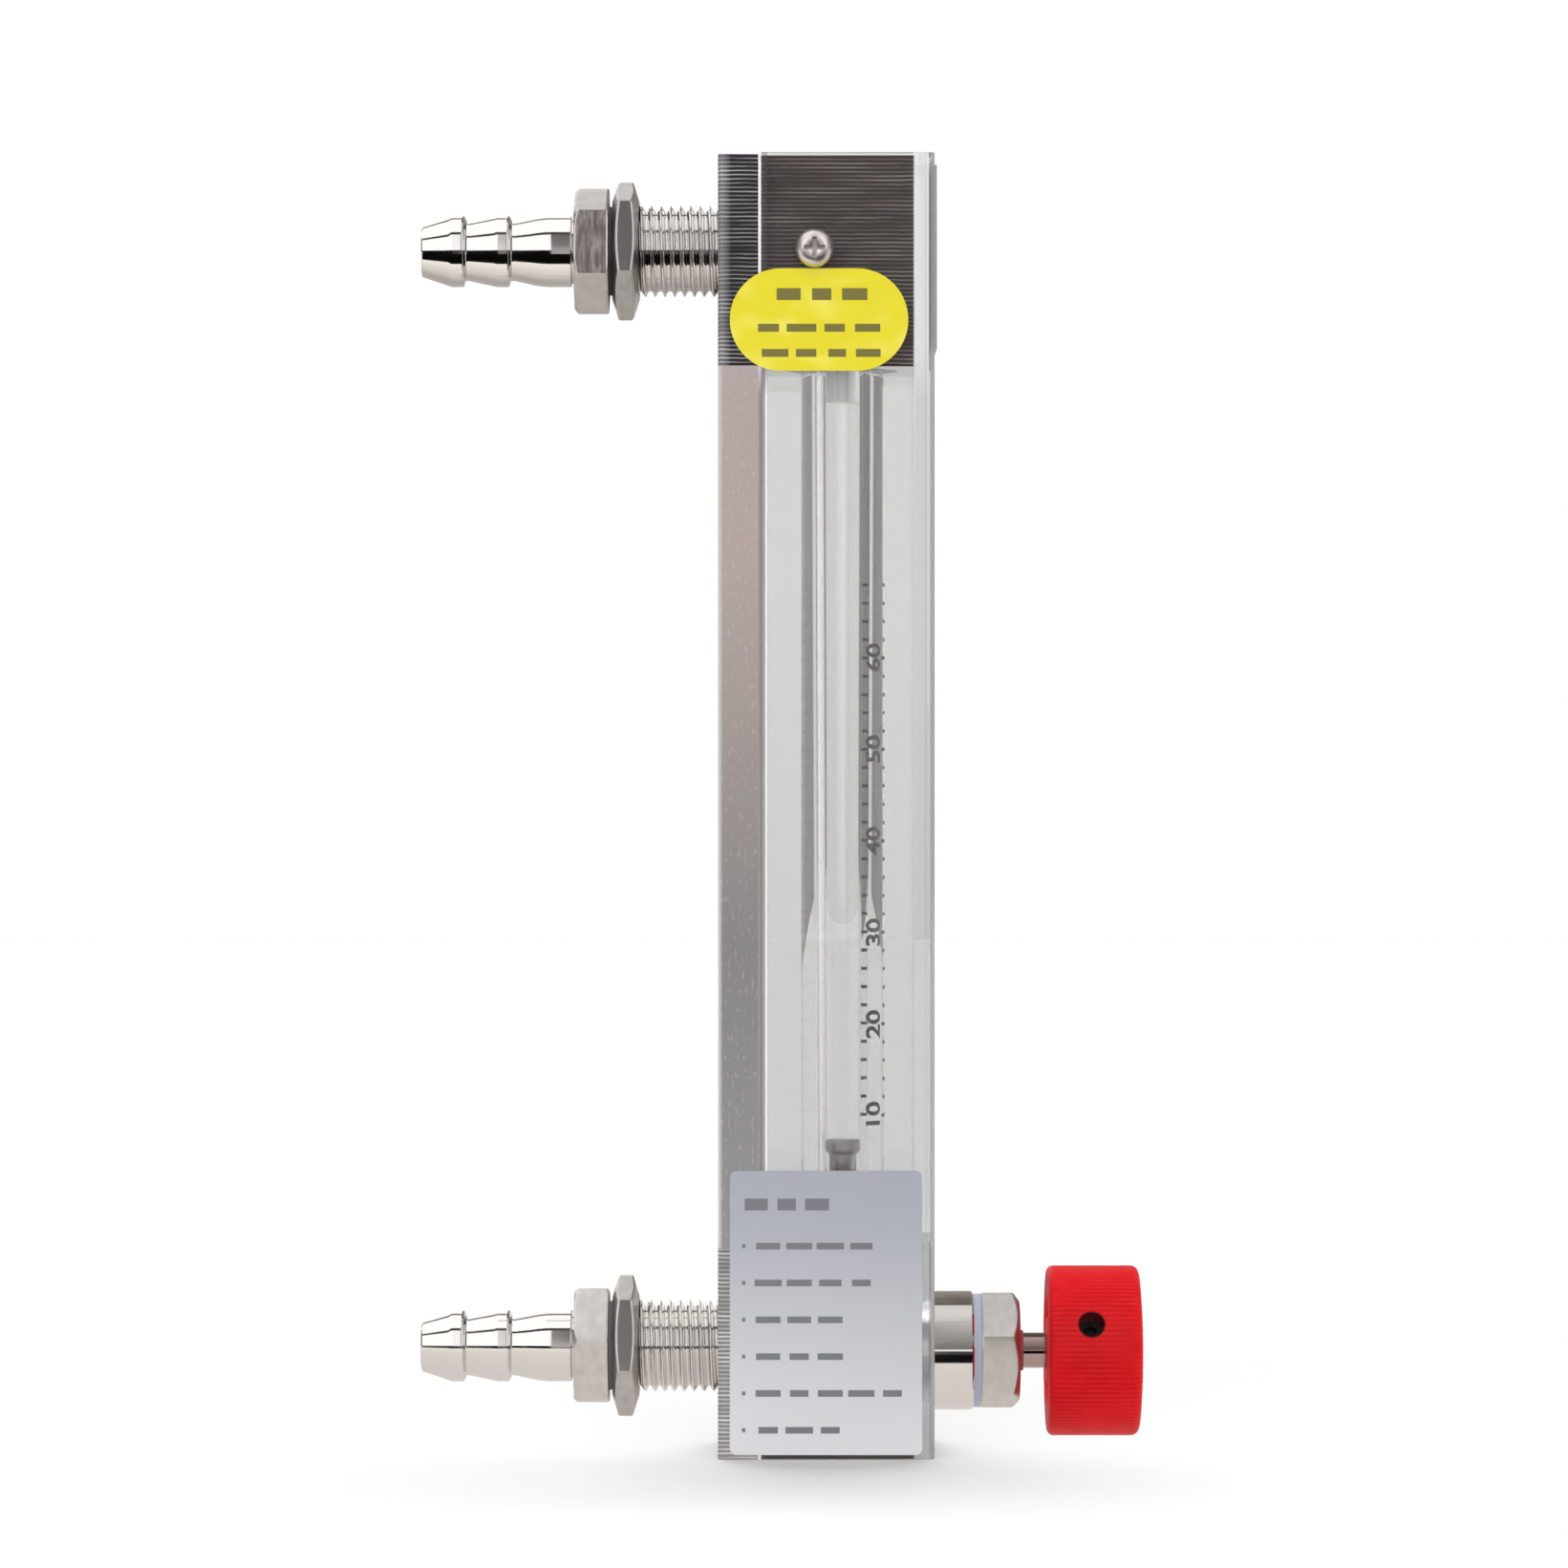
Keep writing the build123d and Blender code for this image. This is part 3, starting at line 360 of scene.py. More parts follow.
# Painted reflection: warm near the top, cooler below
painted_reflection_ramp = [(0.0, "#989798"), (0.35, "#8A8888"), (0.52, "#A69C99"), (0.8, "#BFAEA6"), (1.0, "#C0B0AE")]
painted_reflection_ramp = add_node(tree, "ShaderNodeValToRGB", {"Fac": height}, painted_reflection_ramp)
mottled = add_node(tree, "ShaderNodeMapRange", {"Value": painted_reflection_patches, "To Min": 0.0, "To Max": 0.5})
outside = add_node(tree, "ShaderNodeMix", {0: mottled, 6: painted_reflection_ramp, 7: "#8E8A89"}, data_type="RGBA")
handled = stretched_noise(tree, (0.5 * mm, 0.5 * mm, 1.4 * mm), 6.0)
specks = {"Value": handled, "From Min": 0.56, "From Max": 0.78, "To Min": 0.0, "To Max": 0.5}
specks = add_node(tree, "ShaderNodeMapRange", specks)
outside = add_node(tree, "ShaderNodeMix", {0: specks, 6: outside, 7: "#D9CFCC"}, data_type="RGBA")
# Painted highlight: the rounded fold at the rear turns almost white
fold_painted_highlight = {"Value": parts["X"], "From Min": fold_width[0], "From Max": fold_width[1], "To Min": 0.85, "To Max": 0.0}
fold_painted_highlight = add_node(tree, "ShaderNodeMapRange", fold_painted_highlight)
outside = add_node(tree, "ShaderNodeMix", {0: fold_painted_highlight, 6: outside, 7: "#F0EEED"}, data_type="RGBA")

# Inside the channel the metal is painted near white and made smooth and less metallic: painted light for what the
# tube and the cover let in
across = add_node(tree, "ShaderNodeMath", {0: parts["Y"]}, operation="ABSOLUTE")
within = add_node(tree, "ShaderNodeMath", {0: across, 1: wall_inside}, operation="LESS_THAN")
ahead = add_node(tree, "ShaderNodeMath", {0: parts["X"], 1: web_front}, operation="GREATER_THAN")
within = add_node(tree, "ShaderNodeMath", {0: within, 1: ahead}, operation="MULTIPLY")
blend = add_node(tree, "ShaderNodeMix", {0: within, 6: outside, 7: "#FCFBFA"}, data_type="RGBA")
shine = add_node(tree, "ShaderNodeMath", {0: within, 1: -0.5, 2: 0.5}, operation="MULTIPLY_ADD")
grain = stretched_noise(tree, (0.25 * mm, 0.25 * mm, 12 * mm))
depth = add_node(tree, "ShaderNodeMath", {0: within, 1: -0.25, 2: 0.25}, operation="MULTIPLY_ADD")
bump = add_node(tree, "ShaderNodeBump", {"Height": grain, "Strength": depth, "Distance": 0.05 * mm})
paint(satin, {"Base Color": blend, "Metallic": shine, "Normal": bump})
dress(satin, "back_channel")

# The plug in the upper block is turned from the same steel as the screws
steel = new_material("turned_stainless_steel", {"Metallic": 1.0, "Base Color": "#C4BFBA", "Roughness": 0.22})
dress(steel, "channel_screws", "top_plug")


# Threaded connectors
# Long turned nipples of nickel-plated brass with a rolled M14 x 1.5 thread, screwed into the blocks.
# The sharp crests shine and the roots stay dark.
thread_pitch = 1.5 * mm
thread_depth = 0.82 * mm
thread_columns = 64
rows_per_pitch = 24
port_levels = {"lower": 16 * mm, "upper": 184 * mm}

nickel = new_material("nickel_plated_brass", {"Metallic": 1.0, "Base Color": "#D8D5D2"})
tree = nickel.node_tree
smears = stretched_noise(tree, (6 * mm, 6 * mm, 6 * mm), 3.0)
paint(nickel, {"Roughness": add_node(tree, "ShaderNodeMapRange", {"Value": smears, "To Min": 0.03, "To Max": 0.13})})


def tree_with_inputs(name, inputs):
    """Starts a geometry tree with named inputs; returns the tree, what they give and their identifiers."""
    tree = bpy.data.node_groups.new(name, "GeometryNodeTree")
    tree.interface.new_socket("Geometry", in_out="OUTPUT", socket_type="NodeSocketGeometry")
    sockets = {}
    for label, value in inputs.items():
        kind = {int: "NodeSocketInt", float: "NodeSocketFloat"}.get(type(value), "NodeSocketMaterial")
        socket = tree.interface.new_socket(label, in_out="INPUT", socket_type=kind)
        socket.default_value = value
        sockets[label] = socket.identifier
    return tree, add_node(tree, "NodeGroupInput").outputs, sockets


def outward(mesh):
    """Turns all faces outwards."""
    shell = bmesh.new()
    shell.from_mesh(mesh)
    bmesh.ops.recalc_face_normals(shell, faces=shell.faces)
    shell.to_mesh(mesh)
    shell.free()


def grown(name, tree, sockets, values, body, place=Matrix.Identity(4)):
    """Runs a geometry tree once, keeps the plain mesh in its place, and lets it ride on a body."""
    holder = bpy.data.objects.new(name, bpy.data.meshes.new(name))
    scene.collection.objects.link(holder)
    modifier = holder.modifiers.new("growth", "NODES")
    modifier.node_group = tree
    for label, value in values.items():
        modifier[sockets[label]] = value
    graph = bpy.context.evaluated_depsgraph_get()
    mesh = bpy.data.meshes.new_from_object(holder.evaluated_get(graph), depsgraph=graph)
    holder.modifiers.clear()
    holder.data = mesh
    mesh.transform(place)
    mesh.name = name
    outward(mesh)
    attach(holder, body)
    return holder


# A flat grid is wound to a tube whose radius follows the thread; its first and last rows close the
# ends down to the bore
tree, given, thread_sockets = tree_with_inputs(
    "rolled_thread",
    {
        "Length": 24 * mm,
        "Pitch": thread_pitch,
        "Radius": 7 * mm,
        "Depth": thread_depth,
        "Bore": 2.5 * mm,
        "Rows": 400,
    },
)
thread_tree = tree
grid = {"Size X": 1.0, "Size Y": 1.0, "Vertices X": thread_columns + 1, "Vertices Y": given["Rows"]}
grid = add_node(tree, "GeometryNodeMeshGrid", grid)
spot = add_node(tree, "ShaderNodeSeparateXYZ", {0: add_node(tree, "GeometryNodeInputPosition")}).outputs
around = add_node(tree, "ShaderNodeMath", {0: spot["X"], 1: 0.5}, operation="ADD")
along = add_node(tree, "ShaderNodeMath", {0: spot["Y"], 1: 0.5}, operation="ADD")
travel = add_node(tree, "ShaderNodeMath", {0: along, 1: given["Length"]}, operation="MULTIPLY")
turns = add_node(tree, "ShaderNodeMath", {0: travel, 1: given["Pitch"]}, operation="DIVIDE")
phase = add_node(tree, "ShaderNodeMath", {0: turns, 1: around}, operation="SUBTRACT")
phase = add_node(tree, "ShaderNodeMath", {0: phase}, operation="FRACT")
slope = add_node(tree, "ShaderNodeMath", {0: phase, 1: 2.0, 2: -1.0}, operation="MULTIPLY_ADD")
slope = add_node(tree, "ShaderNodeMath", {0: slope}, operation="ABSOLUTE")
flank = {"Value": slope, "From Min": 0.08, "From Max": 0.95, "To Min": 1.0, "To Max": 0.0}
flank = add_node(tree, "ShaderNodeMapRange", flank, interpolation_type="SMOOTHSTEP")
cut = add_node(tree, "ShaderNodeMath", {0: flank, 1: given["Depth"]}, operation="MULTIPLY")
threaded = add_node(tree, "ShaderNodeMath", {0: given["Radius"], 1: cut}, operation="SUBTRACT")
middle = add_node(tree, "ShaderNodeMath", {0: along, 1: 0.5, 2: 0.4999}, operation="COMPARE")
wall = add_node(tree, "ShaderNodeMath", {0: threaded, 1: given["Bore"]}, operation="SUBTRACT")
radius = add_node(tree, "ShaderNodeMath", {0: middle, 1: wall, 2: given["Bore"]}, operation="MULTIPLY_ADD")
angle = add_node(tree, "ShaderNodeMath", {0: around, 1: 2 * pi}, operation="MULTIPLY")
spun_x = add_node(tree, "ShaderNodeMath", {0: angle}, operation="COSINE")
spun_x = add_node(tree, "ShaderNodeMath", {0: radius, 1: spun_x}, operation="MULTIPLY")
spun_y = add_node(tree, "ShaderNodeMath", {0: angle}, operation="SINE")
spun_y = add_node(tree, "ShaderNodeMath", {0: radius, 1: spun_y}, operation="MULTIPLY")
spun = add_node(tree, "ShaderNodeCombineXYZ", {"X": spun_x, "Y": spun_y, "Z": travel})
wound = add_node(tree, "GeometryNodeSetPosition", {"Geometry": grid, "Position": spun})
hole = {"Vertices": thread_columns, "Radius": given["Bore"], "Depth": given["Length"]}
hole = add_node(tree, "GeometryNodeMeshCylinder", hole, fill_type="NONE")
lift = add_node(tree, "ShaderNodeMath", {0: given["Length"], 1: 0.5}, operation="MULTIPLY")
lift = add_node(tree, "ShaderNodeCombineXYZ", {"Z": lift})
hole = add_node(tree, "GeometryNodeTransform", {"Geometry": hole, "Translation": lift})
hole = add_node(tree, "GeometryNodeFlipFaces", {"Mesh": hole})
joined = add_node(tree, "GeometryNodeJoinGeometry")
plug(joined, {0: wound})
plug(joined, {0: hole})
closed = add_node(tree, "GeometryNodeMergeByDistance", {"Geometry": joined, "Distance": 0.002 * mm})
smooth = add_node(tree, "GeometryNodeSetShadeSmooth", {"Geometry": closed})
real = add_node(tree, "GeometryNodeRealizeInstances", {"Geometry": smooth})
coat = add_node(tree, "GeometryNodeSetMaterial", {"Geometry": real, "Material": nickel})
add_node(tree, "NodeGroupOutput", {"Geometry": coat})

for level, port_z in port_levels.items():
    low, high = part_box(f"{level}_threaded_connector")
    length = high[0] - low[0]
    to_rear = Matrix.Translation((high[0], 0, port_z)) @ Matrix.Rotation(-pi / 2, 4, "Y")
    values = {"Length": length, "Radius": high[2] - port_z, "Rows": round(length / thread_pitch * rows_per_pitch)}
    nipple = grown(f"{level}_thread", thread_tree, thread_sockets, values, "meter", to_rear)
    nipple.data.set_sharp_from_angle(angle=radians(75))
    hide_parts(f"{level}_threaded_connector")


# Lock nuts and gland nut
# Hexagon bar, drilled, bevelled on the turned faces and nickel plated. The thin lock nuts clamp a
# panel; the gland nut, bevelled at its outer end only, presses the packing round the stem.
nut_steps = 16
bevel_slope = tan(radians(30))
edge_radius = 0.25 * mm
corner_radius = 0.35 * mm
sharp_edge = radians(35)


def corner_distance(turn, flats, rounding):
    """How far a hexagon's rounded outline is from its centre at an angle from a flat's middle."""
    off = abs((turn + pi / 6) % (pi / 3) - pi / 6)
    inner = flats / 2 - rounding
    corner = inner / cos(pi / 6)
    if flats / 2 * tan(off) <= inner * tan(pi / 6):
        return flats / 2 / cos(off)
    away = pi / 6 - off
    return corner * cos(away) + sqrt(max(rounding ** 2 - (corner * sin(away)) ** 2, 0))


def nut_rings(start, end, flats, bore, lift, faces, slope=bevel_slope):
    """Rings of points along +X; lift tilts the near flat up, faces are the radii where bevels begin."""
    turn = radians(30 + lift)
    steps = 6 * nut_steps
    rings = [[] for _ in range(10)]
    for step in range(steps):
        angle = turn + 2 * pi * step / steps
        reach = corner_distance(angle - turn, flats, corner_radius)
        drop = [max(reach - face, 0) * slope + edge_radius for face in faces]
        rim = [min(face, reach - edge_radius) for face in faces]
        spots = [
            (start, bore),
            (start, rim[0]),
            (start + drop[0] - edge_radius * 0.7, reach - edge_radius * 0.45),
            (start + drop[0] + edge_radius * 0.3, reach),
            (start + drop[0] + edge_radius * 0.7, reach),
            (end - drop[1] - edge_radius * 0.7, reach),
            (end - drop[1] - edge_radius * 0.3, reach),
            (end - drop[1] + edge_radius * 0.7, reach - edge_radius * 0.45),
            (end, rim[1]),
            (end, bore),
        ]
        for ring, (x, reached) in zip(rings, spots):
            ring.append((x, reached * sin(angle), reached * cos(angle)))
    return rings


def ring_mesh(name, rings, height, material):
    """Joins a closed loop of rings to a skin, at the given height."""
    size = len(rings[0])
    points = [(x, y, z + height) for ring in rings for x, y, z in ring]
    faces = []
    for row in range(len(rings)):
        here, there = row * size, (row + 1) % len(rings) * size
        for step in range(size):
            beside = (step + 1) % size
            faces.append((here + step, here + beside, there + beside, there + step))
    mesh = bpy.data.meshes.new(name)
    mesh.from_pydata(points, [], faces)
    outward(mesh)
    mesh.materials.append(material)
    mesh.shade_smooth()
    mesh.set_sharp_from_angle(angle=sharp_edge)
    thing = bpy.data.objects.new(name, mesh)
    scene.collection.objects.link(thing)
    return thing


def finish_flat(nut, lift, material):
    """Gives the flat that looks to the left, tilted up by lift, a finish of its own."""
    nut.data.materials.append(material)
    towards = Vector((0, -cos(radians(lift)), sin(radians(lift))))
    for face in nut.data.polygons:
        if face.normal.dot(towards) > 0.995:
            face.material_index = 1


def nickel_with_wear_and_painted_tone(name, roughness, spacing, tones):
    """Nickel plate whose tone wanders over the given spacing, as wear, and on the upper hexagon's near flat as
    painted reflection; returns it and the noise of its tone.
    """
    material = new_material(name, {"Metallic": 1.0, "Roughness": roughness})
    wear = stretched_noise(material.node_tree, spacing, 5.0)
    paint(material, {"Base Color": add_node(material.node_tree, "ShaderNodeValToRGB", {"Fac": wear}, tones)})
    return material, wear


wear_spacing = (1.6 * mm, 2.2 * mm, 2.2 * mm)
satin_nickel, wear = nickel_with_wear_and_painted_tone("satin_nickel", 0.36, wear_spacing, [(0.3, "#BFBBB8"), (0.7, "#CECBC8")])
bump = {"Height": wear, "Strength": 0.1, "Distance": 0.03 * mm}
paint(satin_nickel, {"Normal": add_node(satin_nickel.node_tree, "ShaderNodeBump", bump)})
dull_nickel, _ = nickel_with_wear_and_painted_tone("dull_nickel", 0.36, wear_spacing, [(0.3, "#ABA7A5"), (0.7, "#BCBAB7")])
bright_flat = {"Metallic": 1.0, "Base Color": "#ADA9A8", "Roughness": 0.12}
bright_flat = new_material("polished_nickel_flat", bright_flat)

lock_nut_lifts = {"lower": 14, "upper": 10}
lock_nut_flats = 19 * mm
lock_nut_bore = 7 * mm
lock_nut_faces = (7.6 * mm, 7.6 * mm)
lock_nut_slope = tan(radians(15))
for level, port_z in port_levels.items():
    low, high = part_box(f"{level}_lock_nut")
    lift = lock_nut_lifts[level]
    rings = nut_rings(low[0], high[0], lock_nut_flats, lock_nut_bore, lift, lock_nut_faces, lock_nut_slope)
    nut = ring_mesh(f"{level}_panel_nut", rings, port_z, dull_nickel)
    finish_flat(nut, lift, bright_flat)
    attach(nut, "meter")
    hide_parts(f"{level}_lock_nut")

gland_flats = 16 * mm
gland_bore = 3.8 * mm
gland_lift = -12
gland_faces = (9.4 * mm, 7.6 * mm)
low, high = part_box("gland_nut")
valve_z = (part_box("valve_bonnet")[0][2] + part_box("valve_bonnet")[1][2]) / 2
rings = nut_rings(low[0], high[0], gland_flats, gland_bore, gland_lift, gland_faces)
gland = ring_mesh("packing_nut", rings, valve_z, satin_nickel)
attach(gland, "meter")
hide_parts("gland_nut")


# Hose barbs
# Turned from hexagon bar and nickel plated: a spanner hexagon, a shank and three tapered ridges that
# grip the hose. Their rims are slightly rounded, and the bore runs right through.
def turned_rings(outline, steps):
    """Rings along +X from an outline of (x, radius) points."""
    return [
        [(x, r * sin(2 * pi * step / steps), r * cos(2 * pi * step / steps)) for step in range(steps)]
        for x, r in outline
    ]


def eased(outline, rounding):
    """Rounds each corner of an open outline; a point beyond each cut keeps the long stretches true."""
    out = [outline[0]]
    for before, here, after in zip(outline, outline[1:], outline[2:]):
        here_v = Vector(here)
        back = Vector(before) - here_v
        forth = Vector(after) - here_v
        step = min(rounding, back.length * 0.3, forth.length * 0.3)
        first = here_v + back.normalized() * step
        last = here_v + forth.normalized() * step
        mid = here_v * 0.5 + (first + last) * 0.25
        guard = [here_v + way.normalized() * step * 1.5 for way in (back, forth)]
        out += [tuple(guard[0]), tuple(first), tuple(mid), tuple(last), tuple(guard[1])]
    return out + [outline[-1]]


barb_steps = 128
shank_length = 4.6 * mm
neck_length = 0.4 * mm
cone_length = 4.6 * mm
step_length = 0.45 * mm
land_length = 1.9 * mm
ridge_radius = 5.5 * mm
root_radius = 4.5 * mm
tip_radius = 3.95 * mm
core_radius = 4.4 * mm
neck_radius = 5.0 * mm
bore_radius = 2.5 * mm
rim_rounding = 0.22 * mm
end_gap = 0.1 * mm
hex_length = 5.3 * mm
hex_flats = 17 * mm
hex_bore = 4.3 * mm
hex_faces = (9.0 * mm, 9.7 * mm)
barb_lifts = {"lower": -22, "upper": 5.6}
# Painted reflection: the upper hexagon's near flat gets darker, streaky tones
near_flat_painted_dark = [(0.32, "#6E6664"), (0.5, "#877E7B"), (0.68, "#A9A09D")]
painted_dark_flat_nickel, _ = nickel_with_wear_and_painted_tone("painted_dark_flat_nickel", 0.42, (0.5 * mm, 2.5 * mm, 2.5 * mm), near_flat_painted_dark)
for level, port_z in port_levels.items():
    low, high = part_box(f"{level}_hose_barb")
    hex_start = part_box(f"{level}_barb_gasket")[0][0]
    hex_end = hex_start - hex_length
    x = hex_end - neck_length
    outline = [
        (hex_start + end_gap, bore_radius),
        (hex_start + end_gap, core_radius),
        (hex_end - end_gap, neck_radius),
        (x, neck_radius),
        (x, ridge_radius),
    ]
    x -= shank_length
    # The shank bends softly into the first cone; each cone ends at a step up to the next ridge's land
    fall = (ridge_radius - root_radius) / cone_length
    for part in range(7):
        run = part * mm / 2
        outline.append((x + 1.5 * mm - run, ridge_radius - fall * run ** 2 / (6 * mm)))
    for _ in range(2):
        x -= cone_length
        outline.append((x, root_radius))
        x -= step_length
        outline.append((x, ridge_radius))
        x -= land_length
        outline.append((x, ridge_radius))
    outline += [(low[0], tip_radius), (low[0], bore_radius)]
    rings = turned_rings(eased(outline, rim_rounding), barb_steps)
    barb = ring_mesh(f"{level}_ridged_barb", rings, port_z, nickel)
    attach(barb, "meter")
    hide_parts(f"{level}_hose_barb")
    rings = nut_rings(hex_end, hex_start, hex_flats, hex_bore, barb_lifts[level], hex_faces)
    hexagon = ring_mesh(f"{level}_barb_hexagon", rings, port_z, satin_nickel)
    if level == "upper":
        finish_flat(hexagon, barb_lifts[level], painted_dark_flat_nickel)
    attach(hexagon, "meter")


# Seals, gaskets and stops
# Moulded rubber cups and rings that close the joints, and white plastic stops that hold the float
# in the tube.
mouldings = {
    "black_nitrile_rubber": ("#1B1A1A", 0.62, ["stem_o_ring"]),
    # The tube seals are painted pale grey: painted light where they lie in shade at the blocks
    "grey_silicone_rubber": ("#BDBCBA", 0.6, ["lower_tube_seal", "upper_tube_seal"]),
    "white_ptfe": ("#D9D8D4", 0.5, ["gland_packing", "plug_gasket", "lower_port_gasket", "upper_port_gasket"]),
    "dark_fibre_gasket": ("#4A4542", 0.7, ["lower_barb_gasket", "upper_barb_gasket"]),
    "white_acetal": ("#E4E4E4", 0.4, ["lower_stop", "upper_stop"]),
}
for name, (colour, roughness, pieces) in mouldings.items():
    dress(new_material(name, {"Base Color": colour, "Roughness": roughness}), *pieces)


# Needle valve
# A turned, bright nickel collar on the cover, a bluish nylon washer, and a dark red wiper ring round
# the polished stem.
dress(nickel, "valve_bonnet")
stem_steel = {"Metallic": 1.0, "Base Color": "#A8928F", "Roughness": 0.1}
dress(new_material("polished_stainless_steel", stem_steel), "valve_stem")
blue_nylon = {"Base Color": "#99A0AE", "Roughness": 0.35, "Subsurface Weight": 0.3, "Subsurface Scale": 1 * mm}
dress(new_material("bluish_nylon", blue_nylon), "bonnet_washer")
dress(new_material("dark_red_rubber", {"Base Color": "#7A1420", "Roughness": 0.45}), "wiper_ring")


# Knob
# Moulded red plastic with fine straight grooves, held by a black set screw in a radial hole. Its surface is dull.
# Painted shade darkens the grooves and fades in patches, and the hole's wall and rim on the near side are painted
# near black, painted shade in the hole.
groove_count = 100
hole_lift = radians(22.5)
hole_shade_reach = (1.98 * mm, 2.2 * mm)
red_abs = new_material("moulded_red_abs", {"Roughness": 0.45, "Specular IOR Level": 0.06})
tree = red_abs.node_tree
parts = object_axes(tree)
# Painted shade: a darker red along each groove, fading in patches
above = add_node(tree, "ShaderNodeMath", {0: parts["Z"], 1: valve_z}, operation="SUBTRACT")
bearing = add_node(tree, "ShaderNodeMath", {0: above, 1: parts["Y"]}, operation="ARCTAN2")
beat = add_node(tree, "ShaderNodeMath", {0: bearing, 1: float(groove_count)}, operation="MULTIPLY")
crest = add_node(tree, "ShaderNodeMath", {0: beat}, operation="COSINE")
groove_painted_shade = add_node(tree, "ShaderNodeMapRange", {"Value": crest, "From Min": 0.35, "From Max": 1.0})
mottle = stretched_noise(tree, (2.5 * mm, 2.5 * mm, 2.5 * mm), 4.0)
tone = add_node(tree, "ShaderNodeValToRGB", {"Fac": mottle}, [(0.3, "#BD0E14"), (0.7, "#C9171C")])
groove_shade_fade = stretched_noise(tree, (5 * mm, 5 * mm, 5 * mm), 3.0)
groove_shade_fade = add_node(tree, "ShaderNodeMapRange", {"Value": groove_shade_fade, "From Min": 0.35, "From Max": 0.6})
groove_painted_shade = add_node(tree, "ShaderNodeMath", {0: groove_painted_shade, 1: groove_shade_fade}, operation="MULTIPLY")
painted_shade_tone = add_node(tree, "ShaderNodeMix", {0: groove_painted_shade, 6: tone, 7: "#9A0D13"}, data_type="RGBA")
# Painted shade: the set screw hole's wall and rim on the near side turn near black
hole_x = (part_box("knob_set_screw")[0][0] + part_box("knob_set_screw")[1][0]) / 2
off_x = add_node(tree, "ShaderNodeMath", {0: parts["X"], 1: hole_x}, operation="SUBTRACT")
off_y = add_node(tree, "ShaderNodeMath", {0: parts["Y"], 1: sin(hole_lift)}, operation="MULTIPLY")
off_z = add_node(tree, "ShaderNodeMath", {0: above, 1: cos(hole_lift), 2: off_y}, operation="MULTIPLY_ADD")
off = add_node(tree, "ShaderNodeCombineXYZ", {"X": off_x, "Y": off_z})
off = add_node(tree, "ShaderNodeVectorMath", {0: off}, operation="LENGTH")
near_side = add_node(tree, "ShaderNodeMath", {0: parts["Y"], 1: 0.0}, operation="LESS_THAN")
hole_painted_shade = {"Value": off, "From Min": hole_shade_reach[0], "From Max": hole_shade_reach[1], "To Min": 0.93, "To Max": 0.0}
hole_painted_shade = add_node(tree, "ShaderNodeMapRange", hole_painted_shade)
hole_painted_shade = add_node(tree, "ShaderNodeMath", {0: hole_painted_shade, 1: near_side}, operation="MULTIPLY")
painted_shade_tone = add_node(tree, "ShaderNodeMix", {0: hole_painted_shade, 6: painted_shade_tone, 7: "#170607"}, data_type="RGBA")
paint(red_abs, {"Base Color": painted_shade_tone})
dress(red_abs, "control_knob")
black_oxide = {"Base Color": "#111111", "Metallic": 0.6, "Roughness": 0.4}
dress(new_material("black_oxide_steel", black_oxide), "knob_set_screw")


# Clear cover and its screws
# U-shaped cover of cast acrylic, 3 mm thick, with polished edges. It greys the background a little
# and its sawn edges catch the light. A worn steel screw holds it on each side of the upper block.
def clear_solid(name, sockets):
    """A clear solid whose shadow lets nearly all light through, so that what it encloses stays lit."""
    material = new_material(name, {"Transmission Weight": 1.0, "Roughness": 0.0, **sockets})
    tree = material.node_tree
    ray = add_node(tree, "ShaderNodeLightPath").outputs
    passing = {0: ray["Is Shadow Ray"], 1: ray["Is Diffuse Ray"]}
    passing = add_node(tree, "ShaderNodeMath", passing, operation="MAXIMUM")
    through = add_node(tree, "ShaderNodeBsdfTransparent", {"Color": "#F3F3F3"})
    mixed = add_node(tree, "ShaderNodeMixShader", {0: passing, 1: tree.nodes["Principled BSDF"], 2: through})
    plug(tree.nodes["Material Output"], {"Surface": mixed})
    return material


cover_tint = "#E2E2E2"
front_wall = 10.8 * mm
open_middle = 99 * mm
block_starts = (62 * mm, 70 * mm)
hazy_top = 33 * mm
side_face = 14.6 * mm
clear_acrylic = clear_solid("clear_cast_acrylic", {"Base Color": cover_tint, "IOR": 1.49})
tree = clear_acrylic.node_tree
parts = object_axes(tree)
in_front = add_node(tree, "ShaderNodeMath", {0: parts["X"], 1: front_wall}, operation="GREATER_THAN")
from_middle = add_node(tree, "ShaderNodeMath", {0: parts["Z"], 1: open_middle}, operation="SUBTRACT")
from_middle = add_node(tree, "ShaderNodeMath", {0: from_middle}, operation="ABSOLUTE")
at_block = {"Value": from_middle, "From Min": block_starts[0], "From Max": block_starts[1]}
at_block = add_node(tree, "ShaderNodeMapRange", at_block)
wall_tint = add_node(tree, "ShaderNodeMix", {0: at_block, 6: "#CBCBCC", 7: "#DEDEDF"}, data_type="RGBA")
tint = add_node(tree, "ShaderNodeMix", {0: in_front, 6: cover_tint, 7: wall_tint}, data_type="RGBA")
hazy = add_node(tree, "ShaderNodeMath", {0: parts["Z"], 1: hazy_top}, operation="LESS_THAN")
hazy = add_node(tree, "ShaderNodeMath", {0: hazy, 1: in_front}, operation="MULTIPLY")
hazy = add_node(tree, "ShaderNodeMath", {0: hazy, 1: 0.22}, operation="MULTIPLY")
paint(clear_acrylic, {"Base Color": tint, "Roughness": hazy})

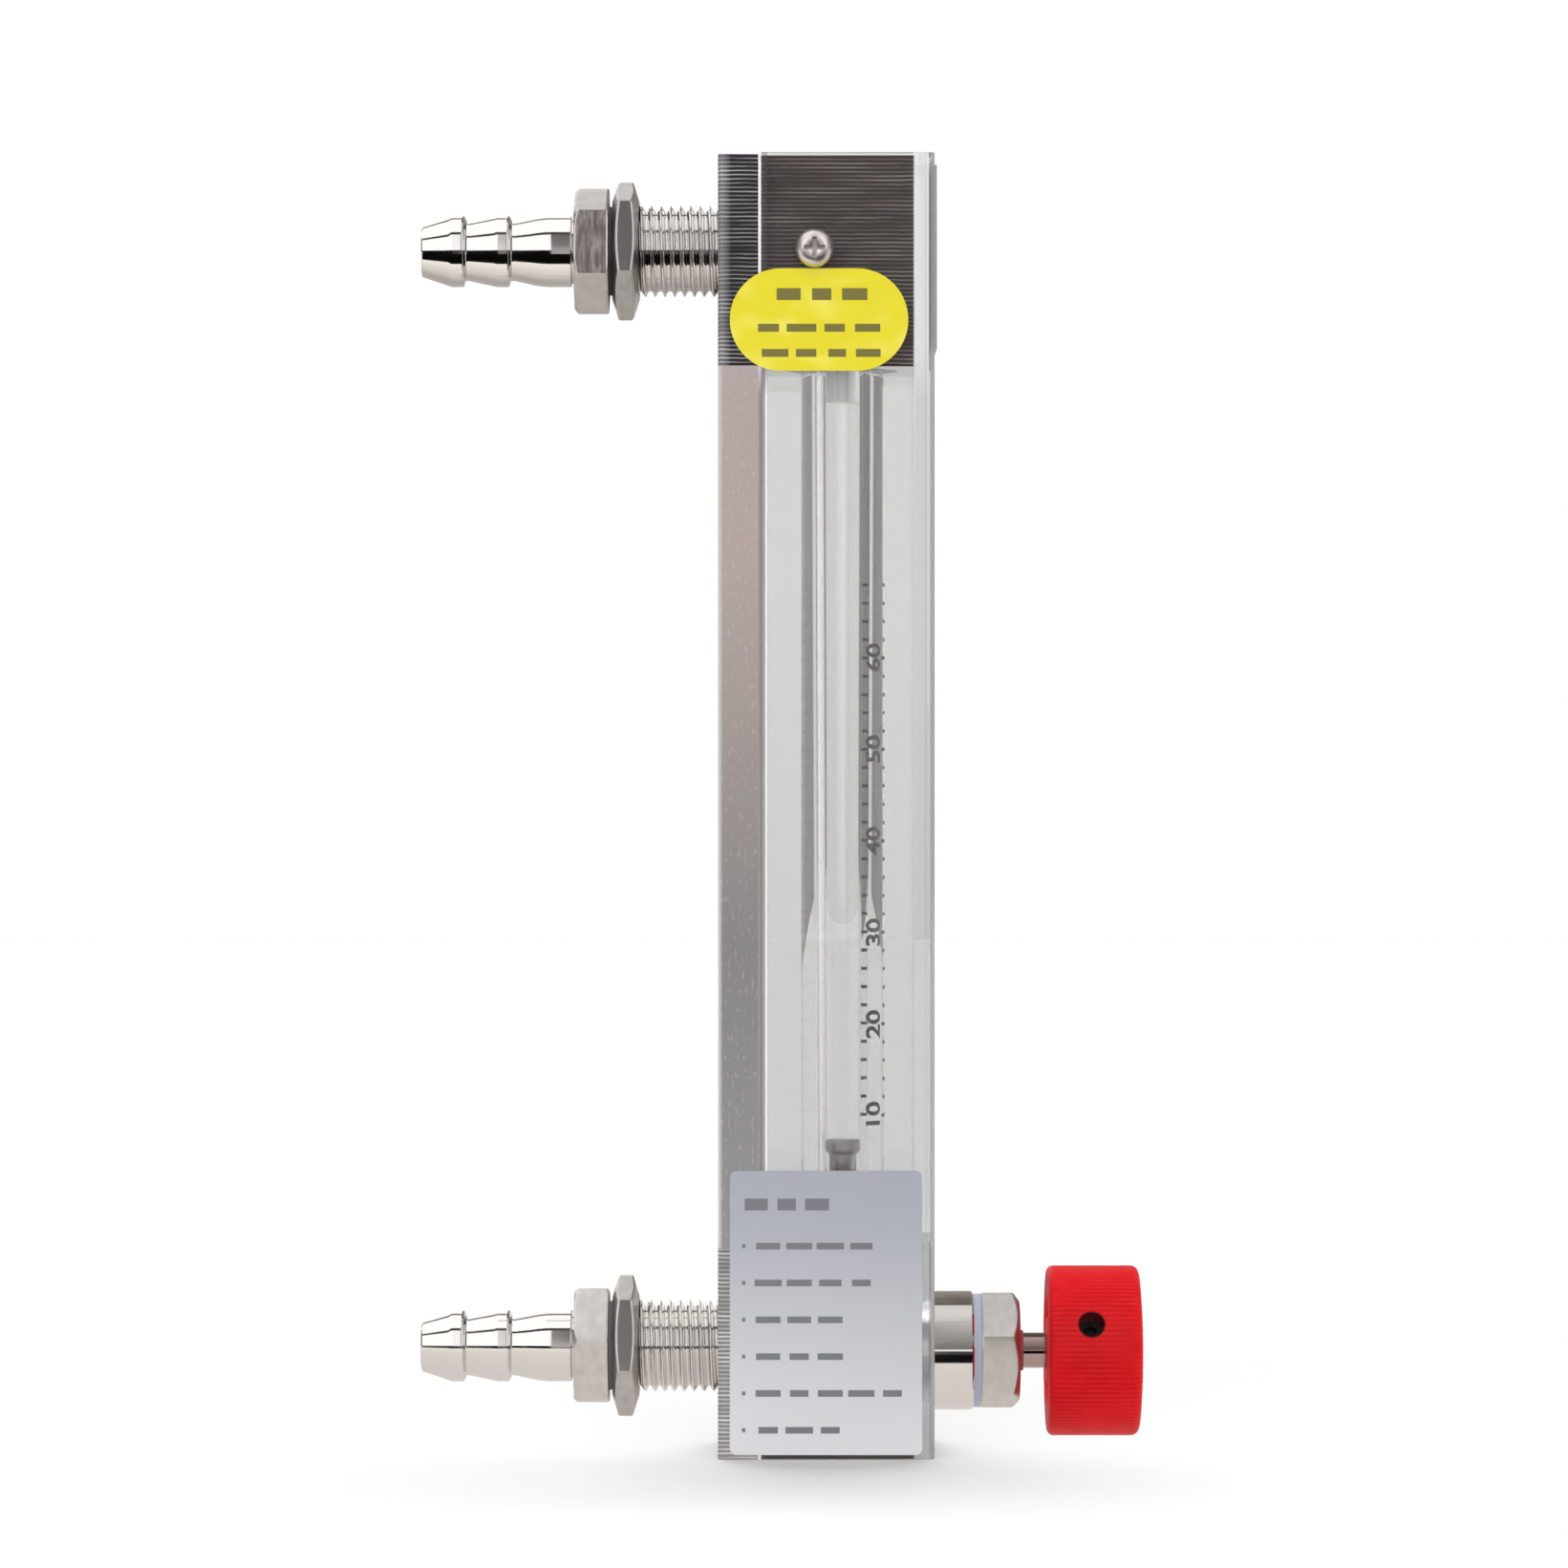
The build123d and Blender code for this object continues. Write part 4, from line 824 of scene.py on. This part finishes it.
# Where it is frosted: the sawn rear edge, slightly chipped, the rounded front corners, and the side
# faces beside the valve
chipped = stretched_noise(tree, (0.9 * mm, 0.9 * mm, 1.1 * mm), 4.0)
wander = add_node(tree, "ShaderNodeMath", {0: chipped, 1: 0.08 * mm, 2: parts["X"]}, operation="MULTIPLY_ADD")
sawn = {"Value": wander, "From Min": -11.55 * mm, "From Max": -11.4 * mm, "To Min": 1.0, "To Max": 0.0}
sawn = add_node(tree, "ShaderNodeMapRange", sawn)
aside = add_node(tree, "ShaderNodeMath", {0: parts["Y"]}, operation="ABSOLUTE")
corner_x = {"Value": parts["X"], "From Min": 12.9 * mm, "From Max": 13.3 * mm}
corner_x = add_node(tree, "ShaderNodeMapRange", corner_x)
corner_y = add_node(tree, "ShaderNodeMapRange", {"Value": aside, "From Min": 13.6 * mm, "From Max": 14.0 * mm})
rounded = add_node(tree, "ShaderNodeMath", {0: corner_x, 1: corner_y}, operation="MULTIPLY")
rounded = add_node(tree, "ShaderNodeMath", {0: rounded, 1: 0.75}, operation="MULTIPLY")
side_skin = add_node(tree, "ShaderNodeMath", {0: aside, 1: side_face}, operation="GREATER_THAN")
fogged = add_node(tree, "ShaderNodeMath", {0: hazy, 1: side_skin}, operation="MULTIPLY")
fogged = add_node(tree, "ShaderNodeMath", {0: fogged, 1: 2.0}, operation="MULTIPLY")
sawn = add_node(tree, "ShaderNodeMath", {0: sawn, 1: rounded}, operation="MAXIMUM")

# The frost's tone: bands along the sawn edge, which differ in the open stretch and at the blocks. Its dark bands are
# painted shade of the gap where the edge meets the metal behind, and its pale bands a painted highlight.
inward = {"Value": wander, "From Min": -12.75 * mm, "From Max": -11.45 * mm}
inward = add_node(tree, "ShaderNodeMapRange", inward)
open_edge = [(0.0, "#A09694"), (0.2, "#857B7C"), (0.7, "#AAA8A8"), (0.8, "#F2F2F2"), (1.0, "#E6E6E6")]
open_edge = add_node(tree, "ShaderNodeValToRGB", {"Fac": inward}, open_edge)
block_edge = [(0.0, "#F4F2F1"), (0.22, "#F4F2F1"), (0.34, "#858083"), (1.0, "#6C686A")]
block_edge = add_node(tree, "ShaderNodeValToRGB", {"Fac": inward}, block_edge)
edge_tone = add_node(tree, "ShaderNodeMix", {0: at_block, 6: open_edge, 7: block_edge}, data_type="RGBA")
edge_tone = add_node(tree, "ShaderNodeMix", {0: in_front, 6: edge_tone, 7: "#A3A3A6"}, data_type="RGBA")
edge_tone = add_node(tree, "ShaderNodeMix", {0: rounded, 6: edge_tone, 7: "#8E8D8D"}, data_type="RGBA")
frost = add_node(tree, "ShaderNodeBsdfDiffuse", {"Color": edge_tone})

# How much of it covers the clear plastic: less at the blocks, and less on the far side
output = tree.nodes["Material Output"]
clear_part = output.inputs["Surface"].links[0].from_socket
past = add_node(tree, "ShaderNodeMath", {0: inward, 1: 0.24}, operation="GREATER_THAN")
past = add_node(tree, "ShaderNodeMath", {0: past, 1: at_block}, operation="MULTIPLY")
past = add_node(tree, "ShaderNodeMath", {0: past, 1: -0.65, 2: 0.85}, operation="MULTIPLY_ADD")
corner_part = add_node(tree, "ShaderNodeMath", {0: rounded, 1: 0.85}, operation="MULTIPLY")
cleaner = {"Value": parts["Y"], "From Min": -10 * mm, "From Max": 10 * mm, "To Min": 1.0, "To Max": 0.25}
cleaner = add_node(tree, "ShaderNodeMapRange", cleaner)
past = add_node(tree, "ShaderNodeMath", {0: past, 1: cleaner}, operation="MULTIPLY")
frosted = add_node(tree, "ShaderNodeMath", {0: sawn, 1: past}, operation="MULTIPLY")
frosted = add_node(tree, "ShaderNodeMath", {0: frosted, 1: corner_part}, operation="MAXIMUM")
frosted = add_node(tree, "ShaderNodeMath", {0: frosted, 1: fogged}, operation="MAXIMUM")
plug(output, {"Surface": add_node(tree, "ShaderNodeMixShader", {0: frosted, 1: clear_part, 2: frost})})
dress(clear_acrylic, "front_cover")
worn_steel = {"Metallic": 1.0, "Base Color": "#DAD3D0", "Roughness": 0.36}
dress(new_material("worn_stainless_steel", worn_steel), "cover_screws")


# Glass tube and float
# Thick-walled borosilicate tube, ground and polished at its ends, with a bore that widens upwards.
# Its walls bend the view so that the bore looks wider than it is. The float is turned steel.
bore_bottom = 2.8 * mm
bore_top = 3.25 * mm
tube_steps = 192
borosilicate = {"Base Color": "#FFFFFF", "IOR": 1.47, "Specular IOR Level": 0.25}
borosilicate = clear_solid("borosilicate_glass", borosilicate)
low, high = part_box("glass_tube")
tube_radius = high[0]
tube_outline = [(low[2], bore_bottom), (low[2], tube_radius), (high[2], tube_radius), (high[2], bore_top)]
tube = ring_mesh("metering_tube", turned_rings(tube_outline, tube_steps), 0.0, borosilicate)
tube.data.transform(Matrix.Rotation(-pi / 2, 4, "Y"))
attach(tube, "meter")
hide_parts("glass_tube")
dull_steel = {"Metallic": 1.0, "Base Color": "#8F8B88", "Roughness": 0.24}
dress(new_material("dull_stainless_steel", dull_steel), "metering_float")


# Scale on the tube
# Ticks and plain numbers fired onto the front of the glass in black enamel. The ticks look to the
# front and the numbers run up the tube beside them.
black_enamel = new_material("black_enamel", {"Base Color": "#1D1C1C", "Roughness": 0.4})
first_tick = 51.5 * mm
tick_spacing = 2.8 * mm
ticks_per_number = 5
number_count = 6
number_height = 4.4 * mm
number_turn = radians(49)
enamel_thickness = 0.03 * mm
enamel_sits_at = 0.7  # of its own thickness above the glass, so that the two don't share a face

tree, given, tick_sockets = tree_with_inputs(
    "scale_ticks",
    {
        "Count": ticks_per_number * number_count,
        "Spacing": tick_spacing,
        "Start": first_tick,
        "Radius": tube_radius,
        "Length": 5 * mm,
        "Height": 0.5 * mm,
        "Thickness": enamel_thickness,
    },
)
step = add_node(tree, "ShaderNodeCombineXYZ", {"Z": given["Spacing"]})
start = add_node(tree, "ShaderNodeCombineXYZ", {"Z": given["Start"]})
line = add_node(tree, "GeometryNodeMeshLine", {"Count": given["Count"], "Start Location": start, "Offset": step})
size = {"X": given["Length"], "Y": given["Thickness"], "Z": given["Height"]}
size = add_node(tree, "ShaderNodeCombineXYZ", size)
bar = add_node(tree, "GeometryNodeMeshCube", {"Size": size, "Vertices X": 12, "Vertices Y": 2, "Vertices Z": 2})
minor = {0: add_node(tree, "GeometryNodeInputIndex"), 1: float(ticks_per_number)}
minor = add_node(tree, "ShaderNodeMath", minor, operation="MODULO")
minor = add_node(tree, "ShaderNodeMath", {0: minor, 1: 1.0}, operation="MINIMUM")
share = add_node(tree, "ShaderNodeMath", {0: minor, 1: -0.2, 2: 1.0}, operation="MULTIPLY_ADD")
stretch = add_node(tree, "ShaderNodeCombineXYZ", {"X": share, "Y": 1.0, "Z": 1.0})
placed = add_node(tree, "GeometryNodeInstanceOnPoints", {"Points": line, "Instance": bar, "Scale": stretch})
real = add_node(tree, "GeometryNodeRealizeInstances", {"Geometry": placed})
spot = add_node(tree, "ShaderNodeSeparateXYZ", {0: add_node(tree, "GeometryNodeInputPosition")}).outputs
angle = add_node(tree, "ShaderNodeMath", {0: spot["X"], 1: given["Radius"]}, operation="DIVIDE")
out = {0: given["Thickness"], 1: enamel_sits_at, 2: spot["Y"]}
out = add_node(tree, "ShaderNodeMath", out, operation="MULTIPLY_ADD")
out = add_node(tree, "ShaderNodeMath", {0: given["Radius"], 1: out}, operation="ADD")
wrapped_x = add_node(tree, "ShaderNodeMath", {0: angle}, operation="COSINE")
wrapped_x = add_node(tree, "ShaderNodeMath", {0: out, 1: wrapped_x}, operation="MULTIPLY")
wrapped_y = add_node(tree, "ShaderNodeMath", {0: angle}, operation="SINE")
wrapped_y = add_node(tree, "ShaderNodeMath", {0: out, 1: wrapped_y}, operation="MULTIPLY")
wrapped = add_node(tree, "ShaderNodeCombineXYZ", {"X": wrapped_x, "Y": wrapped_y, "Z": spot["Z"]})
bent = add_node(tree, "GeometryNodeSetPosition", {"Geometry": real, "Position": wrapped})
coat = add_node(tree, "GeometryNodeSetMaterial", {"Geometry": bent, "Material": black_enamel})
add_node(tree, "NodeGroupOutput", {"Geometry": coat})
grown("scale_ticks", tree, tick_sockets, {"Radius": tube_radius}, "meter")


def printed_number(name, words, middle):
    """A number fired on the tube: it reads upwards, with its middle at the given height."""
    curve = bpy.data.curves.new(name, "FONT")
    curve.body = words
    curve.size = number_height
    curve.extrude = enamel_thickness / 2
    curve.offset = 0.11 * mm
    curve.align_x = "CENTER"
    curve.align_y = "CENTER"
    curve.resolution_u = 4
    flat = bpy.data.objects.new(name, curve)
    scene.collection.objects.link(flat)
    graph = bpy.context.evaluated_depsgraph_get()
    mesh = bpy.data.meshes.new_from_object(flat.evaluated_get(graph), depsgraph=graph)
    bpy.data.objects.remove(flat)
    for point in mesh.vertices:
        x, y, z = point.co
        angle = number_turn - y / tube_radius
        out = tube_radius + z + enamel_thickness * enamel_sits_at
        point.co = (out * sin(angle), -out * cos(angle), middle + x)
    mesh.materials.clear()
    mesh.materials.append(black_enamel)
    number = bpy.data.objects.new(name, mesh)
    scene.collection.objects.link(number)
    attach(number, "meter")


for count in range(1, number_count + 1):
    height = first_tick + (count - 1) * ticks_per_number * tick_spacing
    printed_number(f"scale_number_{count}", str(count * 10), height)


# Sticker, label and front plate
# A glossy yellow vinyl sticker and a silver-white polyester label on the left side. Their print is
# held to plain bars; the plate on the cover's front is bare.
label_top = 44 * mm
ink = 0.02 * mm
ink_overlap = 0.45
plate_metal = {"Metallic": 0.8, "Base Color": "#C2C2C3", "Roughness": 0.38}
dress(new_material("satin_plate", plate_metal), "front_plate")
yellow_vinyl = new_material("yellow_vinyl", {"Roughness": 0.34, "Specular IOR Level": 0.3})
tree = yellow_vinyl.node_tree
# Painted glare: the yellow turns paler in broad patches
painted_glare = stretched_noise(tree, (8 * mm, 8 * mm, 5 * mm), 1.0)
tone = add_node(tree, "ShaderNodeValToRGB", {"Fac": painted_glare}, [(0.5, "#DACC10"), (0.74, "#E6DC5A")])
paint(yellow_vinyl, {"Base Color": tone})
dress(yellow_vinyl, "side_sticker")
silver_film = new_material("silver_polyester", {"Roughness": 0.38, "Metallic": 0.25})
tree = silver_film.node_tree
# Painted sheen: the label is paler towards the bottom and a bluer grey towards the top
height = add_node(tree, "ShaderNodeMapRange", {"Value": object_axes(tree)["Z"], "From Max": label_top})
painted_sheen_tones = [(0.0, "#D6D6DA"), (0.4, "#C3C3C7"), (0.8, "#A9ACB6"), (1.0, "#A4A8B2")]
paint(silver_film, {"Base Color": add_node(tree, "ShaderNodeValToRGB", {"Fac": height}, painted_sheen_tones)})
dress(silver_film, "side_label")
print_grey = new_material("printed_grey", {"Base Color": "#6E6F75", "Roughness": 0.45})
print_olive = new_material("printed_olive", {"Base Color": "#6F661E", "Roughness": 0.45})

tree, given, mark_sockets = tree_with_inputs(
    "printed_marks",
    {
        "Count": 6,
        "Pitch": 2.56 * mm,
        "Width": 1.9 * mm,
        "Height": 2.0 * mm,
        "Depth": ink,
        "Unevenness": 0.35,
        "Seed": 3,
        "Ink": print_grey,
    },
)
mark_tree = tree
step = add_node(tree, "ShaderNodeCombineXYZ", {"X": given["Pitch"]})
line = add_node(tree, "GeometryNodeMeshLine", {"Count": given["Count"], "Offset": step})
size = add_node(tree, "ShaderNodeCombineXYZ", {"X": given["Width"], "Y": given["Depth"], "Z": given["Height"]})
block = add_node(tree, "GeometryNodeMeshCube", {"Size": size})
smallest = add_node(tree, "ShaderNodeMath", {0: 1.0, 1: given["Unevenness"]}, operation="SUBTRACT")
smallest = add_node(tree, "ShaderNodeCombineXYZ", {"X": smallest, "Y": 1.0, "Z": 1.0})
spread = {0: smallest, 1: (1.0, 1.0, 1.0), "Seed": given["Seed"]}
spread = add_node(tree, "FunctionNodeRandomValue", spread, data_type="FLOAT_VECTOR")
placed = add_node(tree, "GeometryNodeInstanceOnPoints", {"Points": line, "Instance": block, "Scale": spread})
real = add_node(tree, "GeometryNodeRealizeInstances", {"Geometry": placed})
coat = add_node(tree, "GeometryNodeSetMaterial", {"Geometry": real, "Material": given["Ink"]})
add_node(tree, "NodeGroupOutput", {"Geometry": coat})


def printed_row(name, left, height, count, pitch, mark, film, seed=3):
    """A row of plain dashes printed on a film, all in mm: mark is (width, height), left its start."""
    slot, colour = ("silver_film", print_grey) if film == "side_label" else ("yellow_film", print_olive)
    width, tall = (side * mm for side in mark)
    values = {"Count": count, "Pitch": pitch * mm, "Width": width, "Height": tall, "Seed": seed, "Ink": colour}
    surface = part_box(film)[0][1] - ink * ink_overlap
    place = Matrix.Translation(((left + mark[0] / 2) * mm, surface, height * mm))
    grown(name, mark_tree, mark_sockets, values, "meter", place)


first_line, line_step = 32.3, 5.57
printed_row("label_heading", -15.2, 38.6, 3, 4.6, (4.0, 1.8), "side_label")
for row, count in enumerate([4, 4, 3, 3, 5, 3]):
    level = first_line - row * line_step
    printed_row(f"label_bullet_{row}", -15.4, level, 1, 1.0, (0.6, 0.6), "side_label")
    printed_row(f"label_line_{row}", -13.5, level, count, 4.7, (4.2, 1.0), "side_label", row)
printed_row("sticker_heading", -10.4, 176.3, 3, 5.0, (4.2, 1.8), "side_sticker")
printed_row("sticker_line_0", -13.6, 171.2, 4, 5.0, (4.5, 1.2), "side_sticker", 5)
printed_row("sticker_line_1", -12.4, 167.4, 4, 4.7, (4.1, 1.2), "side_sticker", 6)

# The photograph keeps only the standing body's shadow on the floor
shadowless_nodes = ["control_knob", "knob_set_screw", "valve_stem", "valve_bonnet", "bonnet_washer", "wiper_ring"]
shadowless_nodes += ["gland_packing", "stem_o_ring", "lower_barb_gasket"]
shadowless = ["packing_nut", "lower_panel_nut", "lower_thread", "lower_ridged_barb", "lower_barb_hexagon"]
for thing in [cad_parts[name] for name in shadowless_nodes] + [bpy.data.objects[name] for name in shadowless]:
    hide_from(thing, "shadow", "diffuse")
